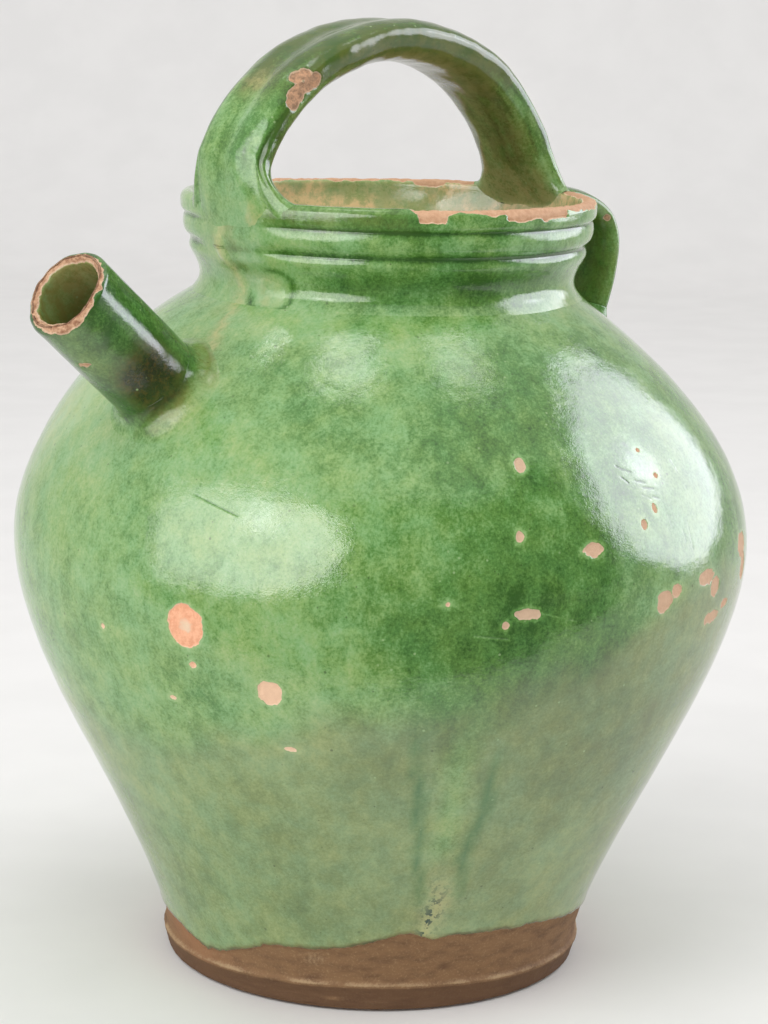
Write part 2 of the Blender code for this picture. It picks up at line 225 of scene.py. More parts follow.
def between(azimuth, start, end, soft=0.9):
    """1 between two azimuths given in degrees, with short soft ends."""
    middle = (start + end) / 2
    half = (end - start) / 2
    away = np.abs(turned_apart(azimuth, middle * DEGREE)) / DEGREE
    return ease(half + soft, half - soft, away)


def turned(radius, azimuth, height):
    """Points round the Z axis."""
    return np.stack([radius * np.cos(azimuth), radius * np.sin(azimuth), height], -1)


def spokes(angles):
    """Unit steps in a plane, at angles from its first axis."""
    return np.stack([np.cos(angles), np.sin(angles)], -1)


def unit(vectors):
    return vectors / np.linalg.norm(vectors, axis=-1, keepdims=True)


def away_from(points, place):
    """Distance of each point from a place given in mm."""
    return np.linalg.norm(points - np.array(place) * MM, axis=1)


def nearest_of(pairs, count):
    """The least of several distances at each point, and the value that comes with it."""
    nearest = np.full(count, FAR)
    value = np.zeros(count)
    for distance, own_value in pairs:
        value = np.where(distance < nearest, own_value, value)
        nearest = np.minimum(nearest, distance)
    return nearest, value


def bezier(start, start_handle, end_handle, end, steps):
    t = np.linspace(0, 1, steps + 1)[:, None]
    corners = [np.array(corner, float) for corner in (start, start_handle, end_handle, end)]
    weights = ((1 - t) ** 3, 3 * t * (1 - t) ** 2, 3 * t * t * (1 - t), t ** 3)
    return sum(weight * corner for weight, corner in zip(weights, corners))


def smooth_curve(points, steps):
    """A rounded line through control points."""
    points = np.array(points, float)
    padded = np.concatenate([2 * points[:1] - points[1:2], points, 2 * points[-1:] - points[-2:-1]])
    parts = []
    for before, start, end, after in zip(padded, padded[1:], padded[2:], padded[3:]):
        parts.append(bezier(start, start + (end - before) / 6, end - (after - start) / 6, end, steps)[:-1])
    return np.concatenate(parts + [points[-1:]])


def hermite(start, start_pull, end, end_pull, share):
    """Points between two places that leave and arrive along the given pulls."""
    t = share[:, None, None]
    return ((2 * t ** 3 - 3 * t ** 2 + 1) * start + (t ** 3 - 2 * t ** 2 + t) * start_pull
            + (3 * t ** 2 - 2 * t ** 3) * end + (t ** 3 - t ** 2) * end_pull)


def lengths_along(outline):
    steps = np.hypot(*np.diff(outline, axis=0).T)
    return np.concatenate([[0.0], np.cumsum(steps)])


def rows_between(places, counts):
    """Rows spaced evenly on each stretch between places along an outline."""
    parts = [np.linspace(start, end, count)[:-1] for start, end, count in zip(places, places[1:], counts)]
    return np.concatenate(parts + [places[-1:]])


class TurnedWall:
    """A wall turned about Z, read by azimuth and by length along its outline of (radius, height)."""

    def __init__(self, outline, first, last, sway=None):
        """First and last are the indices between which the outline is the wall's outside."""
        self.outline = outline
        self.lengths = lengths_along(outline)
        travel = unit(np.gradient(outline, self.lengths, axis=0))
        self.facing = np.stack([travel[:, 1], -travel[:, 0]], -1)
        self.outside = slice(first, last)
        self.outer_start = self.lengths[first]
        self.outer_end = self.lengths[last]
        self.sway = sway

    def read(self, column, along):
        return np.interp(along, self.lengths, column)

    def radius(self, along):
        return self.read(self.outline[:, 0], along)

    def height(self, along):
        return self.read(self.outline[:, 1], along)

    def along_at(self, height):
        """Length along the outline at a height on the outside."""
        return np.interp(height, self.outline[self.outside, 1], self.lengths[self.outside])

    def place(self, azimuth, along, lift=0.0):
        """Points on the wall, moved out of the clay by a lift."""
        if self.sway is not None:
            lift = lift + self.sway(azimuth, self.height(along)) * (along < self.outer_end)
        radius = self.radius(along) + self.read(self.facing[:, 0], along) * lift
        height = self.height(along) + self.read(self.facing[:, 1], along) * lift
        return turned(radius, azimuth, height)

    def normal(self, azimuth, along):
        out = self.read(self.facing[:, 0], along)
        return unit(turned(out, azimuth, self.read(self.facing[:, 1], along)))


# Meshes

def sheet(count, rows, wanted=None, levels=0):
    """Rings of (angle, along) places, made finer where wanted. Returns the places and the faces."""
    builder = bmesh.new()
    corners = [(math.cos(TURN * at / count), math.sin(TURN * at / count)) for at in range(count)]
    vertices = [builder.verts.new((*corner, along)) for along in rows for corner in corners]
    for face in ring_faces(len(rows), count):
        builder.faces.new([vertices[corner] for corner in face])
    for level in range(levels):
        faces = list(builder.faces)
        centres = np.array([face.calc_center_median() for face in faces])
        chosen = wanted(np.arctan2(centres[:, 1], centres[:, 0]), centres[:, 2], level)
        edges = {edge for face, pick in zip(faces, chosen) if pick for edge in face.edges}
        if edges:
            bmesh.ops.subdivide_edges(builder, edges=list(edges), cuts=1, use_grid_fill=True)
    builder.verts.index_update()
    corners = np.array([vertex.co for vertex in builder.verts])
    places = np.stack([np.arctan2(corners[:, 1], corners[:, 0]), corners[:, 2]], -1)
    faces = [tuple(vertex.index for vertex in face.verts) for face in builder.faces]
    builder.free()
    return places, faces


def strip(low, high, width):
    """Faces between two rings of points that start at the given indices."""
    afters = [(at + 1) % width for at in range(width)]
    return [(low + at, low + after, high + after, high + at) for at, after in enumerate(afters)]


def ring_faces(ring_count, width):
    starts = range(0, (ring_count - 1) * width, width)
    return [face for start in starts for face in strip(start, start + width, width)]


def closing_strip(ring_count, width):
    """Faces from the last ring to the first, where an outline closes on itself."""
    return strip((ring_count - 1) * width, 0, width)


def stitched(points, faces, merge=1e-7):
    """Join points that coincide, such as a ring shrunk onto the axis, and drop faces that vanish."""
    keys = np.round(points / merge).astype(np.int64)
    _, index, target = np.unique(keys, axis=0, return_index=True, return_inverse=True)
    target = target.reshape(-1)
    joined = []
    for face in faces:
        corners = [int(target[corner]) for corner in face]
        corners = [corner for at, corner in enumerate(corners) if corner != corners[at - 1]]
        if len(set(corners)) > 2:
            joined.append(corners)
    return index, joined


def add_object(name, data):
    added = bpy.data.objects.new(name, data)
    bpy.context.scene.collection.objects.link(added)
    return added


def add_mesh(name, points, faces, material):
    mesh = bpy.data.meshes.new(name)
    mesh.from_pydata(points, [], faces)
    mesh.shade_smooth()
    mesh.materials.append(material)
    return add_object(name, mesh)


# Marks on each point of a piece, which the glaze's nodes read
MARKS = ("tone", "moss", "olive", "amber", "pale", "burn", "blue", "freckle", "bare", "stain")


def add_piece(name, points, faces, marks, material, node):
    """Make a piece that stands for a node of the frame and rides on its body."""
    index, joined = stitched(points, faces)
    piece = add_mesh(name, points[index].tolist(), joined, material)
    mesh = piece.data
    builder = bmesh.new()
    builder.from_mesh(mesh)
    bmesh.ops.recalc_face_normals(builder, faces=builder.faces)
    builder.to_mesh(mesh)
    builder.free()
    for mark in MARKS:
        values = np.broadcast_to(marks.get(mark, 0.0), (len(points),))[index]
        attribute = mesh.attributes.new(mark, 'FLOAT', 'POINT')
        attribute.data.foreach_set("value", values.astype(np.float32))
    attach(piece, "root")
    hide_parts(node)


def chip_distance(across, along, half_across, half_along):
    """Signed distance in metres to an oval chip's edge, below zero inside it."""
    reach = np.sqrt((across / half_across) ** 2 + (along / half_along) ** 2)
    return (reach - 1) * min(half_across, half_along)


def coat_lift(distance, points, depth=GLAZE_THICKNESS):
    """How far the surface drops where the glaze is gone, with a broken floor of clay."""
    gone = ease(GLAZE_EDGE / 2, -GLAZE_EDGE, distance)
    return -gone * depth * (1 + 0.35 * rough(points, 1.6, 40))


def dragged(points):
    """How much of a dragged colour is left, in patches that run on from piece to piece."""
    return ease(-0.5, 0.5, rough(points, 7, 38))


# Walls of the pot and the collar

def pot_sway(azimuth, height):
    """Unevenness of a hand-thrown pot: a fuller shoulder on one side, faint rings and a slow wobble."""
    fuller = FULLER_SIDE * lobe(azimuth, -43, 48) * band(height, 212, 20)
    rings = THROWING_RINGS * noise(turned(20 * MM, azimuth, height), 7, 11)
    wobble = POT_WOBBLE * noise(turned(120 * MM, azimuth, height), 55, 12)
    fade = rise(0, 12, height) * ease(NECK_HEIGHT, NECK_HEIGHT - 8 * MM, height)
    return (fuller + rings + wobble) * fade


WALL_STEPS = 220


def pot_outline():
    """Closed outline of the pot: underside, foot, wall, neck, and down the inside to the floor."""
    waist = np.array([WAIST_RADIUS, FOOT_HEIGHT])
    neck = np.array([NECK_RADIUS, NECK_HEIGHT])
    belly = (BELLY_RADIUS, BELLY_HEIGHT)
    below_belly = (BELLY_RADIUS, BELLY_HEIGHT - BELLY_REACH_DOWN)
    above_belly = (BELLY_RADIUS, BELLY_HEIGHT + BELLY_REACH_UP)
    lower = bezier(waist, waist + FLARE_REACH * spokes(FLARE_ANGLE), below_belly, belly, WALL_STEPS)
    upper = bezier(belly, above_belly, neck + SHOULDER_REACH * spokes(-SHOULDER_ANGLE), neck, WALL_STEPS)
    wall = np.concatenate([lower, upper[1:]])
    wall = wall[(wall[:, 1] > FOOT_TOP) & (wall[:, 1] < NECK_HEIGHT - 1.2 * NECK_ROLL)]
    foot = smooth_curve([(FOOT_RADIUS, FOOT_EDGE), (FOOT_RADIUS + 0.5 * MM, 2.6 * MM),
                         (FOOT_RADIUS + 0.9 * MM, 6.5 * MM), wall[0]], 14)
    roll_spokes = spokes(np.linspace(90 * DEGREE - SHOULDER_ANGLE, NECK_ROLL_END, 14))
    roll = wall[-1] - NECK_ROLL * roll_spokes[0] + NECK_ROLL * roll_spokes
    travel = unit(np.gradient(wall, axis=0))
    inner = wall + POT_WALL * np.stack([-travel[:, 1], travel[:, 0]], -1)
    inner = inner[(inner[:, 1] > FLOOR_THICKNESS + POT_WALL) & (inner[:, 1] < NECK_HEIGHT - 3 * MM)][::-6]
    base = np.array([(0.0, 0.0), (0.4 * FOOT_RADIUS, 0.0), (FOOT_RADIUS - FOOT_EDGE, 0.0)])
    floor = np.array([(WAIST_RADIUS - 2 * POT_WALL, FLOOR_THICKNESS), (0.0, FLOOR_THICKNESS)])
    outline = np.concatenate([base, foot, wall[1:], roll[1:], inner, floor])
    return outline, len(base), len(base) + len(foot) + len(wall) - 1


# Outside of the collar in mm: bead on the shoulder, throat, two bands with a groove under each, and rim
COLLAR_OUTSIDE = [
    (71.0, 232.2), (69.6, 233.6), (68.2, 235.1), (67.0, 236.5), (66.0, 237.8), (65.2, 239.2), (64.8, 240.6),
    (64.7, 241.8), (64.9, 243.2), (65.4, 244.8), (66.3, 246.8), (67.6, 249.0), (68.5, 251.0), (68.3, 252.7),
    (67.9, 253.5), (68.3, 253.9), (68.2, 254.3), (69.2, 255.3), (70.2, 256.6), (70.7, 259.0), (70.5, 261.4),
    (70.1, 262.3), (70.6, 262.9), (71.5, 264.2), (71.7, 267.0),
]


def collar_outline():
    """Closed outline of the collar: up the outside, over the rim and down the inside."""
    outside = smooth_curve(MM * np.array(COLLAR_OUTSIDE), 6)
    start = outside[-1]
    half_wall = RIM_WALL / 2
    arch = np.array([half_wall, RIM_HEIGHT - start[1]]) * spokes(np.linspace(0, math.pi, 40)[1:])
    rim = start - np.array([half_wall, 0]) + arch
    throat = NECK_RADIUS - POT_WALL
    inside = bezier(rim[-1], rim[-1] - np.array([0, 9 * MM]), (throat, NECK_HEIGHT + 14 * MM),
                    (throat, NECK_HEIGHT - 3 * MM), 40)
    return np.concatenate([outside, rim, inside[1:]]), 0, len(outside) + len(rim) // 2


POT = TurnedWall(*pot_outline(), pot_sway)
COLLAR = TurnedWall(*collar_outline())
CREST = COLLAR.outer_end


# Node materials

class Wire:
    """A node's output, with arithmetic that adds the nodes for it."""

    def __init__(self, nodes, socket):
        self.nodes = nodes
        self.socket = socket

    def __add__(self, other):
        return self.nodes.math('ADD', self, other)

    def __sub__(self, number):
        return self.nodes.math('ADD', self, -number)

    def __rsub__(self, number):
        return self.nodes.math('SUBTRACT', number, self)

    def __mul__(self, other):
        return self.nodes.math('MULTIPLY', self, other)


class Nodes:
    """Short names for building a material's nodes."""

    def __init__(self, material):
        material.use_nodes = True
        self.tree = material.node_tree
        self.place = self.add("TexCoord", "Object")

    def fill(self, node, inputs):
        """Set a node's inputs, by links where a value is a wire."""
        for name, value in inputs.items():
            if isinstance(value, Wire):
                self.tree.links.new(value.socket, node.inputs[name])
            else:
                node.inputs[name].default_value = value

    def shade(self, inputs):
        """Set inputs of the material's own shader."""
        self.fill(self.tree.nodes["Principled BSDF"], inputs)

    def add(self, kind, output, inputs=None, **settings):
        """The named output of a new node."""
        node = self.tree.nodes.new("ShaderNode" + kind)
        for name, value in settings.items():
            setattr(node, name, value)
        self.fill(node, inputs or {})
        return Wire(self, node.outputs[output])

    def math(self, operation, first, second):
        return self.add("Math", 0, {0: first, 1: second}, operation=operation)

    def span(self, value, low, high, bottom=0.0, top=1.0):
        """Map low..high to bottom..top, smoothly and held at both ends."""
        ends = {"From Min": low, "From Max": high, "To Min": bottom, "To Max": top}
        return self.add("MapRange", "Result", {"Value": value, **ends}, interpolation_type='SMOOTHSTEP')

    def mark(self, name):
        """One of the marks on the mesh's points."""
        return self.add("Attribute", "Fac", attribute_name=name)

    def cloud(self, size, detail=3.0, roughness=0.55, stretch=(1, 1, 1), distortion=0.0):
        """Noise whose lumps are about the given size in mm."""
        scale = [1 / (size * MM * part) for part in stretch]
        place = self.add("Mapping", "Vector", {"Vector": self.place, "Scale": scale})
        return self.add("TexNoise", "Fac", {"Vector": place, "Scale": 1.0, "Detail": detail,
                                            "Roughness": roughness, "Distortion": distortion})

    def spots(self, size, radius):
        """1 on small round spots. Size is their spacing in mm, and radius a share of it."""
        distance = self.add("TexVoronoi", "Distance", {"Vector": self.place, "Scale": 1 / (size * MM)})
        return self.span(distance, radius, 0.6 * radius)

    def ramp(self, value, stops):
        """A colour for each value, read between stops of (value, colour)."""
        colour = self.add("ValToRGB", "Color", {"Fac": value})
        elements = colour.socket.node.color_ramp.elements
        while len(elements) < len(stops):
            elements.new(0.5)
        for element, (position, stop) in zip(elements, stops):
            element.position = position
            element.color = (*stop, 1.0)
        return colour

    def mix(self, share, first, second, blend='MIX'):
        """Colours mixed by a share. The node's inputs 0, 6 and 7 are its share and its two colours."""
        colours = [(*value, 1.0) if isinstance(value, tuple) else value for value in (first, second)]
        inputs = {0: share, 6: colours[0], 7: colours[1]}
        return self.add("Mix", 2, inputs, data_type='RGBA', blend_type=blend, clamp_factor=True)


# Glaze and clay colours, linear
DEEP = (0.030, 0.098, 0.014)
LEAF = (0.096, 0.236, 0.050)
FRESH = (0.215, 0.395, 0.138)
PALE = (0.350, 0.500, 0.235)
MOSS = (0.238, 0.305, 0.138)
OLIVE = (0.200, 0.190, 0.046)
AMBER = (0.560, 0.470, 0.200)
STRAW = (0.860, 0.640, 0.330)
SCORCH = (0.015, 0.024, 0.003)
RUST = (0.085, 0.055, 0.009)
SEA = (0.060, 0.150, 0.062)
INK = (0.012, 0.050, 0.035)
SPECK = (0.040, 0.060, 0.018)
CREAM = (0.800, 0.630, 0.450)
PEACH = (0.930, 0.500, 0.310)
SALMON = (0.780, 0.365, 0.215)
TAN = (0.560, 0.320, 0.190)
DRAB = (0.260, 0.165, 0.100)
TERRACOTTA = (0.340, 0.165, 0.092)
BISQUE = (0.660, 0.410, 0.255)
FOOT_DARK = (0.120, 0.064, 0.036)
FOOT_CLAY = (0.253, 0.144, 0.072)
FOOT_PALE = (0.440, 0.300, 0.170)
FOOT_RED = (0.360, 0.180, 0.092)

# Factors that vary a colour: the dull glaze from its depths to its heights, and any glaze from cool to warm
DULL_LOW = (0.58, 0.62, 0.56)
DULL_HIGH = (1.26, 1.24, 1.28)
COOL = (0.94, 1.0, 1.05)
WARM = (1.10, 1.0, 0.88)

GLAZE_INDEX = 1.7
CLAY_ROUGHNESS = 0.72
CLAY_SHINE = 0.08
RELIEF = 0.026 * MM


def glaze_colour(nodes, depth, mottle):
    """Green glaze, dulled, tinted, burnt and speckled where the marks on the mesh say so."""
    colour = nodes.ramp(depth, [(0.03, DEEP), (0.34, LEAF), (0.60, FRESH), (0.98, PALE)])
    dulled = nodes.mix(1.0, MOSS, nodes.ramp(depth, [(0.1, DULL_LOW), (0.9, DULL_HIGH)]), 'MULTIPLY')
    colour = nodes.mix(nodes.mark("moss"), colour, dulled)
    warmth = nodes.ramp(nodes.cloud(13, 5, 0.65), [(0.36, COOL), (0.64, WARM)])
    colour = nodes.mix(1.0, colour, warmth, 'MULTIPLY')
    colour = nodes.mix(nodes.mark("blue") * nodes.span(mottle, 0.25, 0.7, 0.6, 1.0), colour, SEA)
    patchy = nodes.span(nodes.cloud(6, 4, 0.65), 0.36, 0.62)
    colour = nodes.mix(nodes.mark("olive") * (patchy * 0.55 + 0.45), colour, OLIVE)
    crumbs = nodes.span(nodes.cloud(4, 5, 0.7), 0.38, 0.58)
    straw = nodes.mix(nodes.mark("pale"), AMBER, STRAW)
    colour = nodes.mix(nodes.mark("amber") * (crumbs * 0.6 + 0.4), colour, straw)
    burnt = nodes.mark("burn")
    scorch = nodes.mix(nodes.span(nodes.cloud(2.2, 5, 0.75) + burnt * -0.16, 0.26, 0.60), SCORCH, RUST)
    colour = nodes.mix(nodes.span(burnt + (mottle - 0.5) * 0.8, 0.10, 0.95), colour, scorch)
    dark = nodes.spots(4.3, 0.085) * nodes.span(nodes.cloud(11, 2, 0.5), 0.45, 0.6)
    sparse = nodes.spots(9.0, 0.065) * nodes.span(nodes.cloud(23, 2, 0.5), 0.42, 0.56)
    colour = nodes.mix(nodes.math('MAXIMUM', dark, sparse) * 0.6, colour, SPECK)
    light = nodes.spots(5.7, 0.09) * nodes.span(nodes.cloud(17, 2, 0.5), 0.45, 0.6)
    colour = nodes.mix(light * 0.6, colour, PALE)
    return nodes.mix(nodes.mark("freckle") * nodes.span(nodes.cloud(2.2, 3, 0.6), 0.52, 0.58), colour, INK)


def clay_colour(nodes, deep, pale, tone, grain, crumble, bare_edge):
    """Fresh clay in a chip, paler along its border and in its heart, or the stained clay of the foot."""
    fresh = nodes.mix(nodes.span(crumble, 0.35, 0.65), deep, pale)
    fresh = nodes.mix(nodes.mark("pale") * 0.85, fresh, CREAM)
    worn_heart = bare_edge + (crumble - 0.5) * 4.0
    fresh = nodes.mix(nodes.span(worn_heart, -3.6, -5.2, 0.0, 0.8), fresh, CREAM)
    fresh = nodes.mix(nodes.span(bare_edge, -0.30, -0.08) * 0.35, fresh, CREAM)
    rubbed = nodes.cloud(9, 5, 0.65, (1, 1, 0.35))
    stained = nodes.mix(nodes.span(rubbed, 0.14, 0.62), FOOT_DARK, FOOT_CLAY)
    stained = nodes.mix(nodes.span(nodes.cloud(0.8, 3, 0.7), 0.50, 0.75, 0.0, 0.45), stained, FOOT_PALE)
    stained = nodes.mix(nodes.mark("amber"), stained, FOOT_RED)
    stained = nodes.mix(nodes.span(tone, -0.1, -0.6, 0.0, 0.75), stained, FOOT_DARK)
    stained = nodes.mix(nodes.span(tone + (grain - 0.5) * 1.2, 0.15, 0.85), stained, FOOT_PALE)
    return nodes.mix(nodes.mark("stain"), fresh, stained)


def glaze_material(name, clay_deep, clay_pale, polish=(0.03, 0.07), shine=0.42):
    """Mottled lead glaze over clay. Polish is the glaze's least and most roughness."""
    material = bpy.data.materials.new(name)
    nodes = Nodes(material)
    tone = nodes.mark("tone")
    broad = nodes.cloud(30, 3, 0.5, (1, 1, 1.5))
    mottle = nodes.cloud(8, 6, 0.70, (1, 1, 1.15), 0.4)
    streaks = nodes.cloud(3.5, 3, 0.6, (1, 1, 6))
    grain = nodes.cloud(1.0, 4, 0.75)
    depth = broad * 0.65 + mottle * 0.90 + grain * 0.95 + streaks * 0.30 - 0.88 + tone * 0.5
    bare_edge = nodes.mark("bare") + (nodes.cloud(0.9, 3, 0.6) * 0.40 - 0.20)
    bare = nodes.span(bare_edge, 0.17, 0.05)
    covered = 1.0 - bare
    crumble = nodes.cloud(2.0, 5, 0.75)
    clay = clay_colour(nodes, clay_deep, clay_pale, tone, grain, crumble, bare_edge)
    gloss = nodes.span(nodes.cloud(4, 3, 0.6), 0.3, 0.7, *polish) + nodes.mark("burn") * 0.08
    brushed = nodes.cloud(2.4, 4, 0.65, (1.3, 1.3, 0.7))
    dimples = nodes.cloud(0.55, 2, 0.6) * 1.3 + brushed * 2.4 + nodes.cloud(9, 2, 0.5) * 6.5
    relief = dimples * covered + crumble * 9.0 * bare
    nodes.shade({
        "Base Color": nodes.mix(bare, glaze_colour(nodes, depth, mottle), clay),
        "Roughness": bare * CLAY_ROUGHNESS + gloss * covered,
        "Specular IOR Level": covered * shine + CLAY_SHINE,
        "IOR": GLAZE_INDEX,
        "Normal": nodes.add("Bump", "Normal", {"Height": relief, "Distance": RELIEF}),
    })
    return material


POT_GLAZE = glaze_material("pot_glaze", SALMON, PEACH)
COLLAR_GLAZE = glaze_material("collar_glaze", TAN, BISQUE, (0.05, 0.10), 0.36)
SPOUT_GLAZE = glaze_material("spout_glaze", TERRACOTTA, BISQUE)
HANDLE_GLAZE = glaze_material("handle_glaze", DRAB, TAN, (0.06, 0.13), 0.30)
JOINT_GLAZE = glaze_material("joint_glaze", TAN, CREAM, (0.10, 0.20), 0.24)


# Pot

# Chips on the belly: azimuth in degrees, height, half width and half height in mm, and the clay's paleness
BELLY_CHIPS = [
    (18.8, 141.9, 6.5, 7.2, 0.0), (19.4, 128.9, 1.2, 1.2, 0.4), (31.2, 122.5, 4.0, 4.0, 0.7),
    (33.6, 102.7, 1.9, 0.8, 0.8), (2.7, 135.9, 0.9, 0.8, 0.8), (14.5, 115.9, 1.2, 0.7, 0.8),
    (69.6, 194.1, 1.8, 2.5, 0.9), (67.5, 173.8, 1.3, 1.7, 0.8), (79.3, 168.2, 3.8, 2.4, 0.7),
    (68.1, 150.0, 4.0, 2.0, 0.9), (65.0, 146.8, 1.3, 1.5, 0.8), (56.6, 154.1, 0.8, 0.8, 0.6),
    (94.7, 195.0, 1.0, 0.8, 0.3), (96.3, 187.1, 0.9, 0.9, 0.2), (93.1, 178.0, 0.9, 1.5, 0.5),
    (89.9, 173.7, 1.3, 1.5, 0.6), (92.8, 148.2, 3.6, 3.5, 0.7), (95.7, 151.2, 2.1, 2.2, 0.6),
    (104.0, 152.6, 4.6, 2.6, 0.7), (107.0, 148.4, 3.0, 3.4, 0.7), (107.4, 137.4, 4.6, 2.3, 0.8),
    (111.6, 140.4, 3.0, 1.5, 0.6), (120.5, 157.0, 6.0, 4.0, 0.7), (121.5, 149.0, 4.5, 5.0, 0.7),
    (205.0, 131.0, 3.6, 2.8, 0.5), (236.0, 168.0, 2.2, 2.6, 0.7), (300.0, 118.0, 2.8, 2.2, 0.7),
    (322.0, 150.0, 1.6, 1.3, 0.8),
]
# Scratches in the glaze: azimuth in degrees and height in mm of both ends, and the tone they leave
SCRATCHES = [
    (17.6, 182.5, 25.9, 177.7, -0.9), (102.0, 190.5, 103.2, 181.5, -0.8), (27.2, 137.4, 28.7, 139.9, 0.8),
    (69.8, 150.6, 76.6, 146.1, 0.7), (60.5, 143.6, 66.0, 141.9, 0.6), (88.0, 191.6, 88.9, 190.4, -1.0),
    (88.7, 190.8, 90.6, 189.4, -1.1), (88.2, 188.3, 89.3, 186.4, -0.9), (91.0, 186.6, 92.9, 185.7, -1.1),
    (92.2, 184.4, 94.4, 183.6, -1.0), (91.4, 182.5, 93.0, 180.9, -1.0), (93.6, 181.4, 95.3, 180.2, -0.9),
    (95.6, 177.4, 96.2, 170.8, -0.6), (98.4, 174.0, 98.9, 166.0, -0.5), (100.2, 172.0, 100.4, 163.0, -0.4),
]
SCRATCH_WIDTH = 0.26 * MM
# Radius in mm that turns a scratch's azimuths into lengths
SCRATCH_RADIUS = 120
# Lower edge of the glaze round the foot: azimuth in degrees and height in mm
GLAZE_EDGE_LINE = [
    (-31, 17.5), (-20, 17.4), (-10, 15.0), (-1, 12.2), (11, 16.6), (18.4, 20.4), (19.2, 21.8), (33, 23.1),
    (41, 24.6), (52, 29.2), (56.5, 30.4), (62, 27.4), (66, 28.8), (92, 27.2), (102, 25.2), (120, 21.5),
    (180, 20.0), (225, 24.0), (270, 20.0), (329, 17.5),
]
# Line where the bright glaze gives way to the duller glaze below it, given in the same way
MOSS_LINE = [
    (-40, 100), (0, 100), (40, 114), (58, 114), (76, 129), (92, 147), (110, 155), (160, 125), (260, 110),
    (320, 100),
]
# Darker and lighter patches of glaze: tone, azimuth in degrees, height in mm, and reach in both
# The first two patches, dark ones at azimuths 73 and 76 degrees, are partly the glaze's own tone and partly
# a painted reflection of a dim room
SHADES = [
    (-0.60, 73, 151, 18, 26), (-0.48, 76, 200, 24, 28), (0.38, 50, 231, 50, 7), (-0.22, 52, 207, 14, 12),
    (0.08, -20, 170, 50, 60), (0.75, -18, 203, 22, 22), (0.22, 46, 188, 12, 14), (-0.12, 70, 154, 7, 8),
    (0.24, 86, 151, 7, 8), (-0.50, 83, 104, 26, 34),
]
# Places rubbed pale on the bare foot, given in the same way
RUBBED = [(0.5, 33, 19, 4, 3), (0.6, 38, 4.5, 3.5, 1.0)]
# Runs of glaze: azimuth in degrees at the top and at the bottom, and reach aside and both heights in mm
LEFT_RUN = (54.5, 57.0, 1.6, 116, 44)
RIGHT_RUN = (67.9, 64.9, 1.7, 98, 44)
BETWEEN_RUNS = (61.8, 61.0, 5.5, 112, 62)
DRIP_END = (61.0, 61.6, 6.2, 54, 28)
FRECKLED_RUN = (60.4, 60.8, 3.6, 48, 27)
AMBER_RUN = (-1.5, 7.0, 2.3, 244, 220)
OLIVE_RUN = (-1.0, 6.0, 6.5, 246, 216)
POT_COLUMNS = 264
POT_ROWS = (6, 44, 118, 10, 32)
# How near a chip, the glaze's edge or a scratch the mesh is made finer, in mm, at each level
CHIP_NEAR = (2.2, 1.3, 0.8)
EDGE_NEAR = (2.0, 1.0, 0.0)
SCRATCH_NEAR = (2.2, 1.1, 0.6)
# How far from the glaze's lower edge bare clay has to be to count as a chip
EDGE_CLEAR = 3 * MM


def around_pot(azimuth, line):
    """Height read from a line of (azimuth, height) points that closes on itself."""
    angles, heights = np.array(line).T
    return np.interp(azimuth / DEGREE, angles, heights, period=360) * MM


def glaze_edge_height(azimuth):
    ring = turned(WAIST_RADIUS, azimuth, 0 * azimuth)
    ragged = 0.45 * MM * noise(ring, 6, 4) + 0.25 * MM * noise(ring, 1.6, 5)
    return around_pot(azimuth, GLAZE_EDGE_LINE) + ragged


def belly_chips(azimuth, along, points):
    """Signed distance to the nearest chip's ragged edge, and how pale that chip is."""
    radius = POT.radius(along)
    ragged = rough(points, 2.6, 21)

    def chip(centre, height, half_across, half_along, pale):
        across = turned_apart(azimuth, centre * DEGREE) * radius
        up = along - POT.along_at(height * MM)
        distance = chip_distance(across, up, half_across * MM, half_along * MM)
        return distance + ragged * min(0.55, 0.24 * min(half_across, half_along)) * MM, pale

    return nearest_of((chip(*numbers) for numbers in BELLY_CHIPS), len(azimuth))


def scratches(azimuth, along):
    """Distance to the nearest scratch, and the tone it leaves."""
    height = POT.height(along)
    radius = POT.radius(along)

    def scratch(start_azimuth, start_height, end_azimuth, end_height, tone):
        across = turned_apart(azimuth, start_azimuth * DEGREE) * radius
        up = height - start_height * MM
        run = np.array([(end_azimuth - start_azimuth) * DEGREE * SCRATCH_RADIUS * MM,
                        (end_height - start_height) * MM])
        share = np.clip((across * run[0] + up * run[1]) / (run @ run), 0, 1)
        return np.hypot(across - share * run[0], up - share * run[1]), tone

    nearest, tone = nearest_of((scratch(*numbers) for numbers in SCRATCHES), len(azimuth))
    return np.where(along < POT.outer_end, nearest, FAR), tone


def pot_edges(azimuth, along, points):
    """Signed distance to bare clay, height above the glaze's lower edge, and how pale the chips are."""
    outside = along < POT.outer_end
    above = np.where(outside, POT.height(along) - glaze_edge_height(azimuth), FAR)
    above = above + 0.22 * MM * rough(points, 2.5, 22)
    chips, pale = belly_chips(azimuth, along, points)
    return np.minimum(np.where(outside, chips, FAR), above), above, pale


def foot_ridge(azimuth, height):
    """Height above the worn ridge round the foot, which climbs on one side, and the ridge's share there."""
    over = height - RIDGE_HEIGHT - RIDGE_CLIMB * lobe(azimuth, 48, 55)
    return over, np.where(over < 0, band(over, 0, 3.2), band(over, 0, 0.7))


